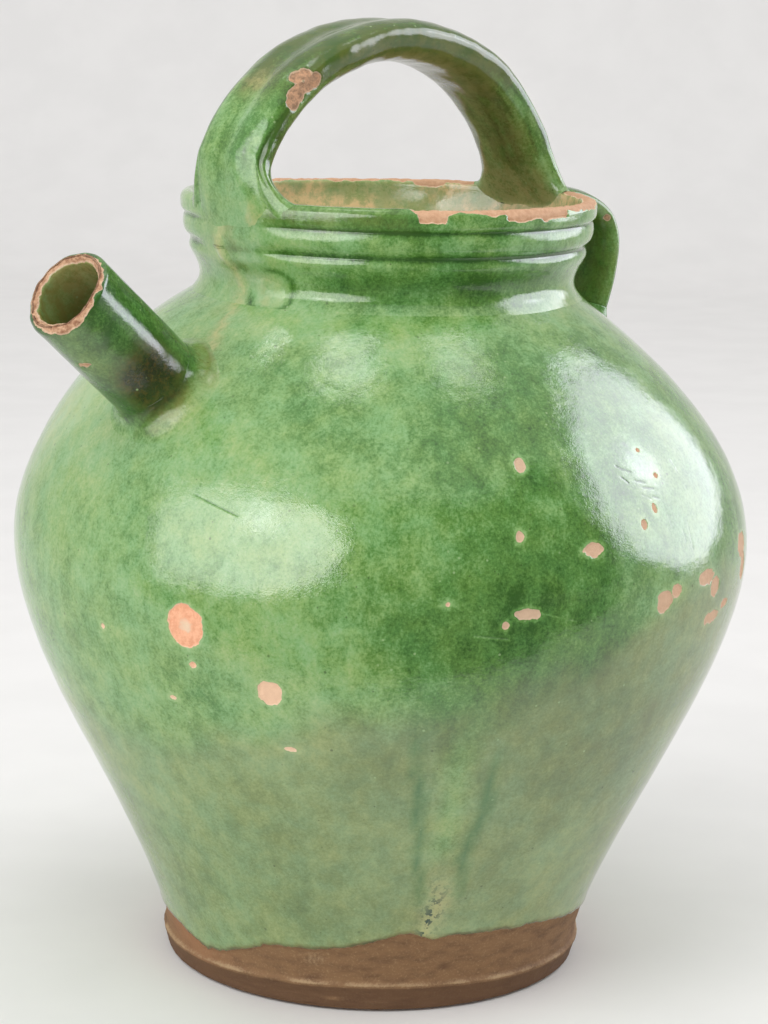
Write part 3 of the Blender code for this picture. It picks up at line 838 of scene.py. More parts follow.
def build_pot():
    foot_end = POT.along_at(FOOT_TOP)
    roll_end = POT.outer_end + 3 * NECK_ROLL
    stops = [0, POT.outer_start, foot_end, POT.outer_end, roll_end, POT.lengths[-1]]

    def wanted(azimuth, along, level):
        bare, above, _ = pot_edges(azimuth, along, POT.place(azimuth, along))
        near_chip = np.abs(bare) < CHIP_NEAR[level] * MM
        near_edge = np.abs(above) < EDGE_NEAR[level] * MM
        near_scratch = scratches(azimuth, along)[0] < SCRATCH_NEAR[level] * MM
        return (near_chip & (along > foot_end) & (np.abs(above) > EDGE_CLEAR)) | near_edge | near_scratch

    places, faces = sheet(POT_COLUMNS, rows_between(stops, POT_ROWS), wanted, len(CHIP_NEAR))
    azimuth, along = places.T
    plain = POT.place(azimuth, along)
    bare, above, pale = pot_edges(azimuth, along, plain)
    scratch, scratch_tone = scratches(azimuth, along)
    scratched = hump(scratch, 0, SCRATCH_WIDTH) * ease(-0.7, 0.5, noise(plain, 4, 29))
    height = plain[:, 2]
    inside = along > roll_end
    waver = 0.03 * noise(plain, 16, 25) + 0.010 * noise(plain, 5, 24)

    def run_down(top_azimuth, low_azimuth, reach, top, bottom):
        """A run of glaze that drifts sideways as it comes down. Its reach and heights are in mm."""
        top = top * MM
        bottom = bottom * MM
        fall = np.clip((top - height) / (top - bottom), 0, 1)
        centre = (top_azimuth + (low_azimuth - top_azimuth) * fall) * DEGREE
        span = ease(bottom - 6 * MM, bottom + 5 * MM, height) * ease(top + 12 * MM, top - 12 * MM, height)
        return band(turned_apart(azimuth, centre + waver) * POT.radius(along), 0, reach) * span

    def patch(centre_azimuth, centre_height, half_azimuth, half_height):
        return lobe(azimuth, centre_azimuth, half_azimuth) * band(height, centre_height, half_height)

    runs = run_down(*LEFT_RUN) + run_down(*RIGHT_RUN)
    drip_end = run_down(*DRIP_END)
    over_ridge, ridge = foot_ridge(azimuth, height)
    lathe_lines = LATHE_LINES * noise(turned(20 * MM, azimuth, height), 1.1, 27)
    bead = BEAD_THICKNESS * band(above, 1.0, 1.1)
    thick = RUN_THICKNESS * runs + DRIP_THICKNESS * drip_end
    clay = (above < 0) & ~inside
    lift = coat_lift(bare, plain) + np.where(bare > 0, bead + thick - SCRATCH_DEPTH * scratched, 0.0)
    lift = lift + np.where(clay, RIDGE_PROUD * ridge + lathe_lines, 0.0)
    points = POT.place(azimuth, along, lift * np.where(inside, 1.0, rise(0, 1.5, height)))

    moss_top = around_pot(azimuth, MOSS_LINE) + 6 * MM * rough(plain, 22, 28)
    mossy = (0.85 - 0.3 * lobe(azimuth, -5, 38)) * ease(moss_top + 9 * MM, moss_top - 9 * MM, height)
    # Tone from the patches, the first two partly a painted reflection of a dim room
    tone = sum(shade * patch(*place) for shade, *place in SHADES)
    tone = (tone + 0.22 * mossy * rough(plain, 42, 30) + 0.40 * drip_end + scratch_tone * scratched
            + 0.5 * band(bare, 0.5, 0.6) * (above > EDGE_CLEAR) - 0.2 * runs - 0.9 * band(above, 0.4, 0.7))
    drag = dragged(plain)
    amber_run = (0.30 + 0.55 * drag) * run_down(*AMBER_RUN)
    olive_run = drag * run_down(*OLIVE_RUN)
    edge_line = band(above, 0.6, 0.9)
    worn_ridge = band(over_ridge, 0.0, 1.0) * (0.42 + 0.5 * rough(plain, 9, 26))
    worn_ridge = sum((pale * patch(*place) for pale, *place in RUBBED), worn_ridge)
    under_ridge = rise(0.2, -1.6, over_ridge)
    red_side = lobe(azimuth, -14, 17) * rise(-12, -1, above)
    marks = {
        "tone": np.where(clay, worn_ridge - 0.75 * under_ridge, tone + 0.25 * band(above, 2.5, 2.5)),
        "moss": mossy * (1 - 0.6 * np.clip(runs + run_down(*BETWEEN_RUNS), 0, 1)),
        "blue": np.clip(0.8 * runs, 0, 1) * (1 - 0.8 * drip_end),
        "olive": np.where(inside, 0.6, np.maximum(0.35 * olive_run, 0.9 * edge_line)),
        "amber": np.where(clay, 0.8 * red_side, np.where(inside, 0.5, amber_run + 0.30 * drip_end)),
        "pale": np.where(inside, 0.8, np.where(bare < MM, pale, 0.5 * drip_end + 0.5 * amber_run)),
        "burn": np.where(inside, 0.0, 0.60 * edge_line * (0.5 + 0.5 * drag)),
        "freckle": run_down(*FRECKLED_RUN),
        "bare": np.clip(bare / MM, -8, 3),
        "stain": np.maximum(rise(2, -0.5, above), 0.3 * between(azimuth, 58, 140, 3)),
    }
    add_piece("glazed_pot", points, faces, marks, POT_GLAZE, "body")


# Collar

# Stretches of the rim chipped down the outside: from and to azimuth in degrees, and how far down in mm
RIM_CHIPS = [
    (54.3, 62.8, 6.0), (79.0, 103.0, 5.6), (111.0, 126.0, 4.2), (155.0, 166.0, 3.4), (236.0, 250.0, 4.2),
]
# Azimuths in degrees between which the rim's crest is worn, and those of the chip inside it
WORN_CREST = (52, 292)
INNER_CHIP = (209, 219)
# How far past the crest, in mm, the edge of the bare clay lies where the rim is whole, so that none shows
WHOLE_RIM = 3
LUMP_AZIMUTH = 11.4 * DEGREE
LUMP_HEIGHT = 241 * MM
LUMP_HALF_WIDTH = 7.2 * MM
LUMP_HALF_HEIGHT = 5.6 * MM
LUMP_SQUARENESS = 2.5
# Azimuths in degrees, at heights in mm, of the clay dragged down from the bail's front root
SMEAR_HEIGHTS = (229, 237, 241.5, 246, 254, 262, 270)
SMEAR_AZIMUTHS = (6.0, 0.7, -0.9, -2.2, -6.7, -3.7, -2.0)
SMEAR_SIDES = (-10 * MM, 30 * MM)
SMEAR_TOP = RIM_HEIGHT - 4 * MM
SMEAR_BOTTOM = 234.6 * MM
SMEAR_COLUMNS = 100
SMEAR_ROWS = 120
# Radii in mm at heights in mm, from band to band, to which the smear fills the grooves
BRIDGE_HEIGHTS = (250.9, 251.0, 256.6, 256.7, 258.9, 259.0, 264.2, 264.3)
BRIDGE_RADII = (0.0, 68.5, 70.2, 0.0, 0.0, 70.7, 71.5, 0.0)
COLLAR_COLUMNS = 288
COLLAR_ROWS = (90, 40)
# How near the rim's bare clay the mesh is made finer, in mm, at each level
RIM_NEAR = (1.6, 0.8)


def rim_bare_distance(azimuth, along, points):
    """Signed distance to the edge of the bare clay along the rim's crest."""
    outward = CREST - along
    worn = between(azimuth, *WORN_CREST, 3)
    down = -WHOLE_RIM * MM + (6.2 + 0.6 * noise(points, 7, 32)) * MM * worn
    for start, end, depth in RIM_CHIPS:
        down = np.maximum(down, (-WHOLE_RIM + (depth + WHOLE_RIM) * between(azimuth, start, end)) * MM)
    inner = -WHOLE_RIM * MM + 5.6 * MM * worn + 1.8 * MM * between(azimuth, *INNER_CHIP)
    return np.maximum(outward - down, -outward - inner) + 0.6 * MM * rough(points, 3.6, 31)


def smear_spine(height):
    return np.interp(height / MM, SMEAR_HEIGHTS, SMEAR_AZIMUTHS) * DEGREE


def smear_aside(azimuth, height):
    """Distance along the collar from the smear's spine."""
    return turned_apart(azimuth, smear_spine(height)) * RIM_RADIUS


def lump_reach(azimuth, height):
    """Distance from the middle of the thumbed lump beside the smear, 1 at its edge."""
    across = turned_apart(azimuth, LUMP_AZIMUTH) * NECK_RADIUS / LUMP_HALF_WIDTH
    up = (height - LUMP_HEIGHT) / LUMP_HALF_HEIGHT
    return (np.abs(across) ** LUMP_SQUARENESS + np.abs(up) ** LUMP_SQUARENESS) ** (1 / LUMP_SQUARENESS)


def smear_marks(azimuth, height, points):
    """Tone, olive and amber of the smear and the lump, shared by the collar and the clay laid on it. The
    tone holds painted shade round the lump and under the bands.
    """
    aside = smear_aside(azimuth, height)
    reach = lump_reach(azimuth, height)
    drag = dragged(points)
    right_side = rise(-3, 3, turned_apart(azimuth, LUMP_AZIMUTH) * NECK_RADIUS)
    below = ease(LUMP_HEIGHT, LUMP_HEIGHT - 4 * MM, height)
    # Painted shade, darkening the lump's right and lower rim, where glaze also pools, a band under the
    # lower band, and the lower groove
    pool_and_painted_shadow = hump(reach, 1.22, 0.16) * np.clip(right_side + below, 0, 1)
    shadow = band(height, 247.4, 2.2) * band(aside, 3.5, 6) * (0.5 + 0.5 * drag)
    crease = hump(height, LOWER_GROOVE_HEIGHT, 1.3 * MM) * band(aside, 9, 9)
    tone = 0.35 * ease(1.05, 0.7, reach) - 1.0 * pool_and_painted_shadow - 0.8 * shadow
    tone = tone + 0.25 * band(aside, -1, 4) - 0.55 * crease
    olive = 0.45 * drag * band(aside, 3, 9) * (1 - 0.6 * pool_and_painted_shadow) + 0.3 * crease
    patches = ease(-0.2, 0.5, rough(points, 4, 39))
    amber = (0.35 + 0.60 * drag * patches) * band(aside, 0.2, 2.4)
    amber = amber + 0.25 * drag * hump(reach, 0.6, 0.35) * (1 - right_side)
    return tone, olive, np.clip(amber, 0, 1)


def pushed_out(points, distance):
    """Points moved straight out from the pot's axis."""
    stretch = 1 + distance / np.hypot(points[:, 0], points[:, 1])
    return points * np.stack([stretch, stretch, np.ones(len(points))], -1)


def collar_skin(azimuth, along, points):
    """Signed distance to bare clay, the grooves' share, the skin's lift, and the smear's fill in them."""
    height = points[:, 2]
    outer = along < CREST
    bare = rim_bare_distance(azimuth, along, points)
    filled = rise(27, 11, np.abs(smear_aside(azimuth, height) - 4 * MM))
    lower_groove = hump(height, LOWER_GROOVE_HEIGHT, LOWER_GROOVE_REACH) * outer
    upper_groove = hump(height, UPPER_GROOVE_HEIGHT, UPPER_GROOVE_REACH) * outer
    wobble = COLLAR_WOBBLE * noise(points, 32, 34) + OUTER_RIPPLE * noise(points, 9, 35)
    lift = coat_lift(bare, points, RIM_CHIP_DEPTH) + wobble * rise(6, 14, along)
    lift = lift + INNER_RIPPLE * noise(points, 9, 33) * ease(CREST + 4 * MM, CREST + 9 * MM, along)
    bridged = np.interp(height / MM, BRIDGE_HEIGHTS, BRIDGE_RADII) * MM
    fill = filled * outer * np.maximum(bridged - COLLAR.radius(along), 0)
    return bare, (1 - filled) * np.clip(lower_groove + upper_groove, 0, 1), lift, fill


def build_collar():
    rows = rows_between([0, CREST, COLLAR.lengths[-1]], COLLAR_ROWS)

    def wanted(azimuth, along, level):
        points = COLLAR.place(azimuth, along)
        return np.abs(rim_bare_distance(azimuth, along, points)) < RIM_NEAR[level] * MM

    places, faces = sheet(COLLAR_COLUMNS, rows, wanted, len(RIM_NEAR))
    azimuth, along = places.T
    plain = COLLAR.place(azimuth, along)
    bare, grooves, lift, fill = collar_skin(azimuth, along, plain)
    points = pushed_out(COLLAR.place(azimuth, along, lift), fill)
    height = plain[:, 2]
    outer = along < CREST
    inside = ease(CREST + 1.5 * MM, CREST + 3.5 * MM, along)
    throat = band(height, 246, 4.0)
    flank = rise(10, 3, along)
    painted_shade_side = between(azimuth, 25, 112, 14)
    crest = band(height, 259.5, 2.2) + band(height, 251, 1.5)
    smear_tone, smear_olive, smear_amber = smear_marks(azimuth, height, plain)
    rim_face = band(height, 266, 3.5) * between(azimuth, 12, 52, 8)
    # Painted shade: darker in the grooves, and on the side from azimuth 25 to 112 degrees darker still in
    # the throat, with the other side lighter
    banded = 0.1 * crest - 0.9 * grooves + 0.25 * (1 - painted_shade_side) - (0.18 + 0.42 * throat) * painted_shade_side
    banded = banded - 0.5 * rim_face
    banded = banded * (1 - flank) + 0.25 * flank + 0.2 * rough(plain, 14, 36) + smear_tone
    mottled = ease(-0.35, 0.25, rough(plain, 15, 37))
    # Inside the mouth the glaze is lighter, painted light against the shade there, and amber, its own
    # colour
    marks = {
        "tone": np.where(outer, banded, 0.5 * inside),
        "olive": np.where(outer, np.maximum(smear_olive, 0.35 * rim_face), 0.3 * inside),
        "amber": np.where(outer, smear_amber, inside * (0.25 + 0.75 * mottled)),
        "pale": np.where(bare > 0, np.where(outer, 0.3, 0.9), 0.0),
        "bare": np.clip(bare / MM, -3, 3),
    }
    faces = faces + closing_strip(len(rows), COLLAR_COLUMNS)
    add_piece("glazed_collar", points, faces, marks, COLLAR_GLAZE, "collar")


# Spout

SPOUT_AXIS = np.array([math.cos(SPOUT_RISE), 0.0, math.sin(SPOUT_RISE)])
SPOUT_UP = np.array([-math.sin(SPOUT_RISE), 0.0, math.cos(SPOUT_RISE)])
SPOUT_SIDE = np.array([0.0, 1.0, 0.0])
SPOUT_ROOT = np.array([POT.radius(POT.along_at(SPOUT_HEIGHT)), 0.0, SPOUT_HEIGHT])
SPOUT_TONE = -0.92
# The chip on the spout's side: angle round the spout, length along it, and half width and half length
SPOUT_CHIP_ANGLE = 164 * DEGREE
SPOUT_CHIP_PLACE = 33.4 * MM
SPOUT_CHIP_SIZE = (2.2 * MM, 1.1 * MM)
# The burnt side of the spout's root: its middle and its reach, round the spout and along it
BURN_ANGLE = 112 * DEGREE
BURN_REACH_ROUND = 44 * DEGREE
BURN_PLACE = 16 * MM
BURN_REACH_ALONG = 14 * MM
SPOUT_COLUMNS = 240
SPOUT_ROWS = (44, 64, 30)
FILLET_COLUMNS = 200
FILLET_STEPS = 34


def spout_out(angle):
    """Ways out from the spout's axis: angle is 0 on its upper side and a quarter turn on its +Y side."""
    return np.cos(angle)[:, None] * SPOUT_UP + np.sin(angle)[:, None] * SPOUT_SIDE


def spout_outline():
    """Outline as (radius, along): up the outside, over the lip and down the bore."""
    half = SPOUT_WALL / 2
    outer = np.stack([np.full(40, SPOUT_RADIUS), np.linspace(-SPOUT_BURIAL, SPOUT_LENGTH - half, 40)], -1)
    lip_spokes = spokes(np.linspace(0, math.pi, 16)[1:-1])
    lip = np.array([SPOUT_RADIUS, SPOUT_LENGTH]) - half + half * lip_spokes
    inner = outer[::-1] - np.array([SPOUT_WALL, 0.0])
    return np.concatenate([outer, lip, inner])


def spout_swell(angle):
    """The spout's unevenness round its axis, as a factor of its radius."""
    ring = turned(SPOUT_RADIUS, angle, 0 * angle)
    return 1 + 0.03 * np.cos(2 * angle + 0.6) + 0.02 * noise(ring, 14, 51)


def spout_burn(angle, axial):
    """Share of burnt glaze on the side of the spout's root."""
    aside = turned_apart(angle, BURN_ANGLE) / BURN_REACH_ROUND
    up = (axial - BURN_PLACE) / BURN_REACH_ALONG
    return 0.98 * np.exp(-np.abs(aside) ** 3 - np.abs(up) ** 2.5)


def build_spout():
    outline = spout_outline()
    lengths = lengths_along(outline)
    lip_at = lengths[-1] / 2
    rows = rows_between([0, lip_at - 9 * MM, lip_at + 8 * MM, lengths[-1]], SPOUT_ROWS)
    places, faces = sheet(SPOUT_COLUMNS, rows)
    angle, along = places.T
    radius = np.interp(along, lengths, outline[:, 0])
    axial = np.interp(along, lengths, outline[:, 1])
    inside = along > lip_at
    outer = along < lip_at

    def spout_place(radius, axial):
        return SPOUT_ROOT + axial[:, None] * SPOUT_AXIS + radius[:, None] * spout_out(angle)

    plain = spout_place(radius, axial)
    ring = turned(SPOUT_RADIUS, angle, 0 * angle)
    near_lip = rise(14, 1, np.abs(along - lip_at))
    low_side = lobe(angle, 138, 38)
    lip_wave = 0.45 * MM * noise(ring, 9, 52) + 0.25 * MM * noise(ring, 3, 53)
    lip_wave = lip_wave + 1.6 * MM * lobe(angle, 300, 75)
    outer_width = (0.5 + 3.0 * low_side + 1.2 * lobe(angle, 60, 24)) * MM + 0.6 * MM * rough(ring, 3.4, 54)
    inner_width = (1.9 + 0.7 * low_side) * MM + 0.5 * MM * rough(ring, 6, 56)
    bare = np.where(outer, lip_at - along - outer_width, along - lip_at - inner_width)
    across_chip = turned_apart(angle, SPOUT_CHIP_ANGLE) * SPOUT_RADIUS
    chip = chip_distance(across_chip, axial - SPOUT_CHIP_PLACE, *SPOUT_CHIP_SIZE)
    bare = np.where(outer, np.minimum(bare, chip), bare) + 0.3 * MM * rough(plain, 2.2, 55)
    facet = lobe(angle, 70, 15) * rise(16, 44, axial)
    drop = coat_lift(bare, plain, LIP_CHIP_DEPTH) * np.where(outer, 1.0, -1.0)
    drop = drop + (SPOUT_RIPPLE * noise(plain, 8, 57) - FACET_DEPTH * facet) * outer
    lip_shift = (lip_wave - LIP_DROP * low_side) * near_lip
    points = spout_place(radius * spout_swell(angle) + drop, axial + lip_shift)
    depth = SPOUT_LENGTH - axial
    burnt = spout_burn(angle, axial)
    # Lighter and greyer glaze on the low side, toward the lip
    paler_low_side = lobe(angle, 150, 30) * rise(16, 30, axial)
    # Inside the bore the glaze darkens deeper in as painted shade, and turns amber near the mouth on the
    # upper side, partly its own colour and partly painted light
    marks = {
        "tone": np.where(inside, 0.1 - 0.6 * rise(6, 25, depth), SPOUT_TONE + 0.35 * paler_low_side),
        "moss": np.where(inside, 0.0, 0.4 * paler_low_side),
        "olive": np.where(inside, 1.0, 0.35 * ease(0.2, 0.7, burnt)),
        "amber": np.where(inside, 0.5 * lobe(angle, 335, 55) * rise(30, 4, depth), 0.0),
        "burn": np.where(inside, 0.55 * lobe(angle, 215, 55) * rise(3, 16, depth), burnt),
        "bare": np.clip(bare / MM, -1.2, 3),
    }
    faces = faces + closing_strip(len(rows), SPOUT_COLUMNS)
    add_piece("glazed_spout", points, faces, marks, SPOUT_GLAZE, "spout")


def meet_pot(starts, direction, near, far):
    """Where lines along a direction cross the pot's wall."""
    low = np.full(len(starts), near)
    high = np.full(len(starts), far)
    for _ in range(40):
        middle = (low + high) / 2
        points = starts + middle[:, None] * direction
        wall = POT.radius(POT.along_at(points[:, 2]))
        inside = (np.hypot(points[:, 0], points[:, 1]) < wall) & (points[:, 2] < NECK_HEIGHT)
        low = np.where(inside, middle, low)
        high = np.where(inside, high, middle)
    return (low + high) / 2


def build_spout_fillet():
    """Clay smoothed from the spout's root onto the shoulder."""
    angle = np.linspace(0, TURN, FILLET_COLUMNS, endpoint=False)
    out = spout_out(angle)
    swell = SPOUT_RADIUS * spout_swell(angle)
    reach = FILLET_REACH * (1 + 0.18 * np.cos(2 * angle + 2.2) + 0.10 * np.cos(5 * angle))
    root_line = SPOUT_ROOT + swell[:, None] * out
    seat_line = SPOUT_ROOT + (swell + reach)[:, None] * out
    root = meet_pot(root_line, SPOUT_AXIS, -30 * MM, 25 * MM)
    seat = meet_pot(seat_line, SPOUT_AXIS, -40 * MM, 30 * MM)
    top = root_line + (root + FILLET_RISE)[:, None] * SPOUT_AXIS
    foot = seat_line + seat[:, None] * SPOUT_AXIS
    azimuth = np.arctan2(foot[:, 1], foot[:, 0])
    along = POT.along_at(foot[:, 2])
    normal = POT.normal(azimuth, along)
    foot = POT.place(azimuth, along, -0.12 * MM)
    spread = unit(out - np.sum(out * normal, axis=1)[:, None] * normal)
    share = np.linspace(0, 1, FILLET_STEPS)
    surface = hermite(top, -1.9 * FILLET_RISE * SPOUT_AXIS, foot, 1.5 * reach[:, None] * spread, share)
    under = hermite(top - 1.5 * MM * out, -FILLET_RISE * SPOUT_AXIS, foot - 2 * MM * normal,
                    reach[:, None] * spread, share)
    rings = np.concatenate([surface, under[::-1]])
    points = rings.reshape(-1, 3)
    shares = np.concatenate([share, share[::-1]]).repeat(FILLET_COLUMNS)
    around = np.tile(angle, len(rings))
    lumps = 0.2 * MM * noise(points, 8, 61) * np.sin(math.pi * shares)
    lip = 0.35 * MM * hump(shares, 0.86, 0.07) * lobe(around, 140, 70)
    points = points + (lumps + lip)[:, None] * np.tile(out, (len(rings), 1))
    axial = (points - SPOUT_ROOT) @ SPOUT_AXIS
    burnt = spout_burn(around, np.maximum(axial, 4 * MM)) * ease(0.60, 0.10, shares)
    gold = lobe(around, 128, 34) * hump(shares, 0.62, 0.18)
    rusty = lobe(around, 118, 36) * hump(shares, 0.30, 0.22)
    upper_olive = 0.7 * lobe(around, 40, 40) * ease(0.1, 0.4, shares) * ease(1.0, 0.7, shares)
    # A lighter line along the small lip near the seat, as a painted highlight
    marks = {
        "burn": burnt * (1 - 0.4 * gold),
        "amber": 0.25 * gold,
        "olive": np.maximum(upper_olive, 0.8 * rusty),
        "tone": SPOUT_TONE * ease(0.55, 0.0, shares) + 0.25 * hump(shares, 0.85, 0.12),
        "bare": 3.0,
    }
    faces = ring_faces(len(rings), FILLET_COLUMNS) + closing_strip(len(rings), FILLET_COLUMNS)
    add_piece("spout_fillet", points, faces, marks, JOINT_GLAZE, "spout_coil")


# Straps

STRAP_SQUARENESS = 2.6
STRAP_LEAN = 0.10
VALLEY_SHARE = 0.3
LANDING_SINK = 0.1 * MM
BAIL_SIDES = 144
BAIL_STEPS = 260
BAIL_FOOT_STEPS = 46
REAR_SIDES = 64
REAR_STEPS = 120
REAR_TOP_STEPS = 20
REAR_FOOT_STEPS = 24
# Chips on the handles: middle and radius, in mm
BAIL_CHIPS = [
    ((51.0, 13.6, 310.0), 3.0), ((48.4, 15.2, 309.2), 2.7), ((54.2, 12.4, 309.4), 2.6),
    ((54.2, 15.4, 306.6), 2.6), ((56.0, 15.4, 304.4), 3.1), ((57.4, 15.7, 301.4), 2.6),
    ((51.3, 15.4, 307.6), 2.5), ((72.6, 13.8, 285.3), 0.8), ((-40.0, -12.0, 312.0), 2.4),
]
REAR_CHIPS = [((-95.5, 15.0, 258.2), 1.7), ((-99.0, -14.5, 250.0), 1.5)]
# Middles in mm of the golden patch on the bail and of the amber at its front root
BAIL_GOLD = (57.3, -2.0, 307.3)
BAIL_ROOT = (71.0, 9.0, 263.5)


def side_angles(sides):
    return (np.arange(sides) + 0.5) * TURN / sides


def rounded_square(angle):
    """A rounded square as (across, out), each from -1 to 1."""
    power = 2 / STRAP_SQUARENESS
    return [np.sign(wave) * np.abs(wave) ** power for wave in (np.cos(angle), np.sin(angle))]


def strap_rings(path, angle, width, thickness, groove):
    """Rings of a strap along a path of (x, z), with a valley in its outer face, and each ring's heading."""
    along = unit(np.gradient(path, axis=0))
    facing = np.stack([-along[:, 1], along[:, 0]], -1)
    across, out = rounded_square(angle)
    valley = groove * np.maximum(0, out) * np.exp(-(across / VALLEY_SHARE) ** 2)
    across = across * (1 + STRAP_LEAN * out) * width / 2
    out = thickness / 2 * out - valley
    rings = np.zeros((len(path), len(angle), 3))
    rings[:, :, 0] = path[:, :1] + facing[:, :1] * out
    rings[:, :, 1] = across
    rings[:, :, 2] = path[:, 1:] + facing[:, 1:] * out
    headings = np.stack([along[:, 0], 0 * along[:, 0], along[:, 1]], -1)
    return rings, headings


def landing(wall, azimuth, along, angle, turn, half_width, reach_out, reach_in):
    """A loop on a turned wall where a strap's foot lands, and the way it spreads there."""
    across, out = rounded_square(angle)
    reach = np.where(out > 0, reach_out, reach_in)

    def spot(scale):
        spin = azimuth + turn * across * half_width * scale / wall.radius(along)
        return wall.place(spin, along - out * reach * scale, -LANDING_SINK)

    return spot(1.0), unit(spot(1.04) - spot(0.96))


def strap_foot(ring, heading, loop, pulls, share):
    """Rings from the end of a strap to the loop where it lands."""
    places, spread = loop
    return hermite(ring, pulls[0] * heading, places, pulls[1] * spread, share)


def skin_normals(skin):
    """Outward directions of a tube of rings."""
    around = np.roll(skin, -1, axis=1) - np.roll(skin, 1, axis=1)
    return unit(np.cross(around, np.gradient(skin, axis=0)))


def handle_chip_distance(points, chips):
    """Signed distance to the nearest chip's ragged edge."""
    distances = ((away_from(points, middle) - radius * MM, 0.0) for middle, radius in chips)
    return nearest_of(distances, len(points))[0] + 0.6 * MM * rough(points, 4.0, 70)


def add_strap(name, skin, lump_size, calm, chips, marks, material, node):
    """Make a handle from rings of points, with lumps that calm toward its feet, chips and closed ends."""
    count, sides = skin.shape[:2]
    points = skin.reshape(-1, 3)
    normal = skin_normals(skin).reshape(-1, 3)
    bare = handle_chip_distance(points, chips)
    lumps = noise(points, 15, 71) + 0.3 * noise(points, 5, 72)
    lift = lump_size * lumps * np.repeat(calm, sides)
    points = points + (lift + coat_lift(bare, points, HANDLE_CHIP_DEPTH))[:, None] * normal
    ends = [tuple(range(sides)), tuple(range((count - 1) * sides, count * sides))]
    marks = dict(marks, bare=np.clip(bare / MM, -1.2, 3))
    add_piece(name, points, ring_faces(count, sides) + ends, marks, material, node)


def bail_arch():
    """Centre line over the mouth as (x, z), from the back to the front, a little above the rim."""
    front = RIM_RADIUS + BAIL_FRONT_OVERHANG
    back = RIM_RADIUS - BAIL_BACK_SETBACK
    spring = RIM_HEIGHT - BAIL_SPRING_DEPTH
    half_height = BAIL_HEIGHT + BAIL_CROWN - spring - BAIL_THICKNESS / 2
    low = math.asin((BAIL_SPRING_DEPTH + BAIL_FOOT_RISE) / half_height)
    arch = np.array([(front + back) / 2, half_height]) * spokes(np.linspace(math.pi - low, low, BAIL_STEPS))
    return np.array([(front - back) / 2, spring]) + arch


def build_bail():
    angle = side_angles(BAIL_SIDES)
    rings, headings = strap_rings(bail_arch(), angle, BAIL_WIDTH, BAIL_THICKNESS, BAIL_GROOVE)
    share = np.linspace(0, 1, BAIL_FOOT_STEPS)
    front_loop = landing(COLLAR, 0.0, CREST, angle, 1, *BAIL_FRONT_FOOT)
    back_loop = landing(COLLAR, math.pi, CREST, angle, -1, *BAIL_BACK_FOOT)
    front = strap_foot(rings[-1], headings[-1], front_loop, BAIL_FRONT_PULLS, share)[1:]
    back = strap_foot(rings[0], -headings[0], back_loop, BAIL_BACK_PULLS, share)[1:]
    skin = np.concatenate([back[::-1], rings, front])
    back_foot = np.concatenate([share[:0:-1], np.zeros(len(rings) + len(front))])
    front_foot = np.concatenate([np.zeros(len(back) + len(rings)), share[1:]])
    around = np.tile(angle, len(skin))
    pressed = ease(84 * DEGREE, 40 * DEGREE, around) * ease(2 * DEGREE, 15 * DEGREE, around)
    pressed = pressed.reshape(len(skin), BAIL_SIDES) * band(skin[:, :, 2], 286, 13)
    pressed = pressed * rise(30, 50, skin[:, :, 0])
    skin = skin - BAIL_PRESSED * pressed[:, :, None] * skin_normals(skin)
    points = skin.reshape(-1, 3)
    height = points[:, 2]
    landed = np.repeat(front_foot, BAIL_SIDES)
    back_landed = np.repeat(back_foot, BAIL_SIDES)
    front_side = rise(-10, 30, points[:, 0])
    side = np.minimum(np.abs(turned_apart(around, 0)), np.abs(turned_apart(around, math.pi)))
    flank = hump(side * np.sign(np.sin(around)), 13 * DEGREE, 17 * DEGREE)
    steps = np.repeat(np.arange(len(skin)), BAIL_SIDES)
    combed = noise(np.stack([12 * MM * around, 0 * around, 0.06 * MM * steps], -1), 1.8, 73)
    inner = ease(0.15, 0.7, -np.sin(around))
    low = ease(RIM_HEIGHT + 14 * MM, RIM_HEIGHT - 2 * MM, height)
    top = ease(RIM_HEIGHT + 28 * MM, RIM_HEIGHT + 46 * MM, height)
    gold = band(away_from(points, BAIL_GOLD), 0, 6)
    root = band(away_from(points, BAIL_ROOT), 0, 9)
    valley = hump(np.sin(around), 1.0, 0.1)
    # Painted shade and reflection: the dark stripe along each flank, strongest on the front leg, is a
    # painted reflection of dark surroundings; the inner face is darker partly as its own glaze and partly
    # as painted shade under the arch
    tone = (-0.36 - 0.74 * top - 0.75 * flank * (0.4 + 0.6 * front_side) - 0.40 * inner
            + 0.24 * front_side * (1 - inner) - 0.25 * valley * top + 0.34 * combed)
    tone = tone * (1 - landed) + landed * (0.22 - 0.3 * inner)
    # The back foot is lightened toward 0.6 as painted light against the shade under the arch
    tone = tone + back_landed * (0.6 - tone) + 0.35 * root
    olive = 0.32 * top + 0.20 * np.abs(np.cos(around)) ** 10 + 0.42 * inner + 0.35 * low * (1 - front_side)
    olive = np.clip(olive, 0, 0.85) * (1 - 0.9 * landed) * (1 - 0.6 * back_landed)
    amber = 0.5 * gold + 0.22 * inner * (1 - front_side) + 0.25 * back_landed * inner
    amber = np.clip(amber + 0.45 * root * ease(-0.3, 0.5, rough(points, 6, 74)), 0, 1)
    marks = {"tone": tone, "olive": olive, "amber": amber, "pale": 0.6 * back_landed}
    add_strap("glazed_bail", skin, BAIL_LUMPS, 1 - front_foot - back_foot, BAIL_CHIPS, marks, HANDLE_GLAZE,
              "bail_handle")


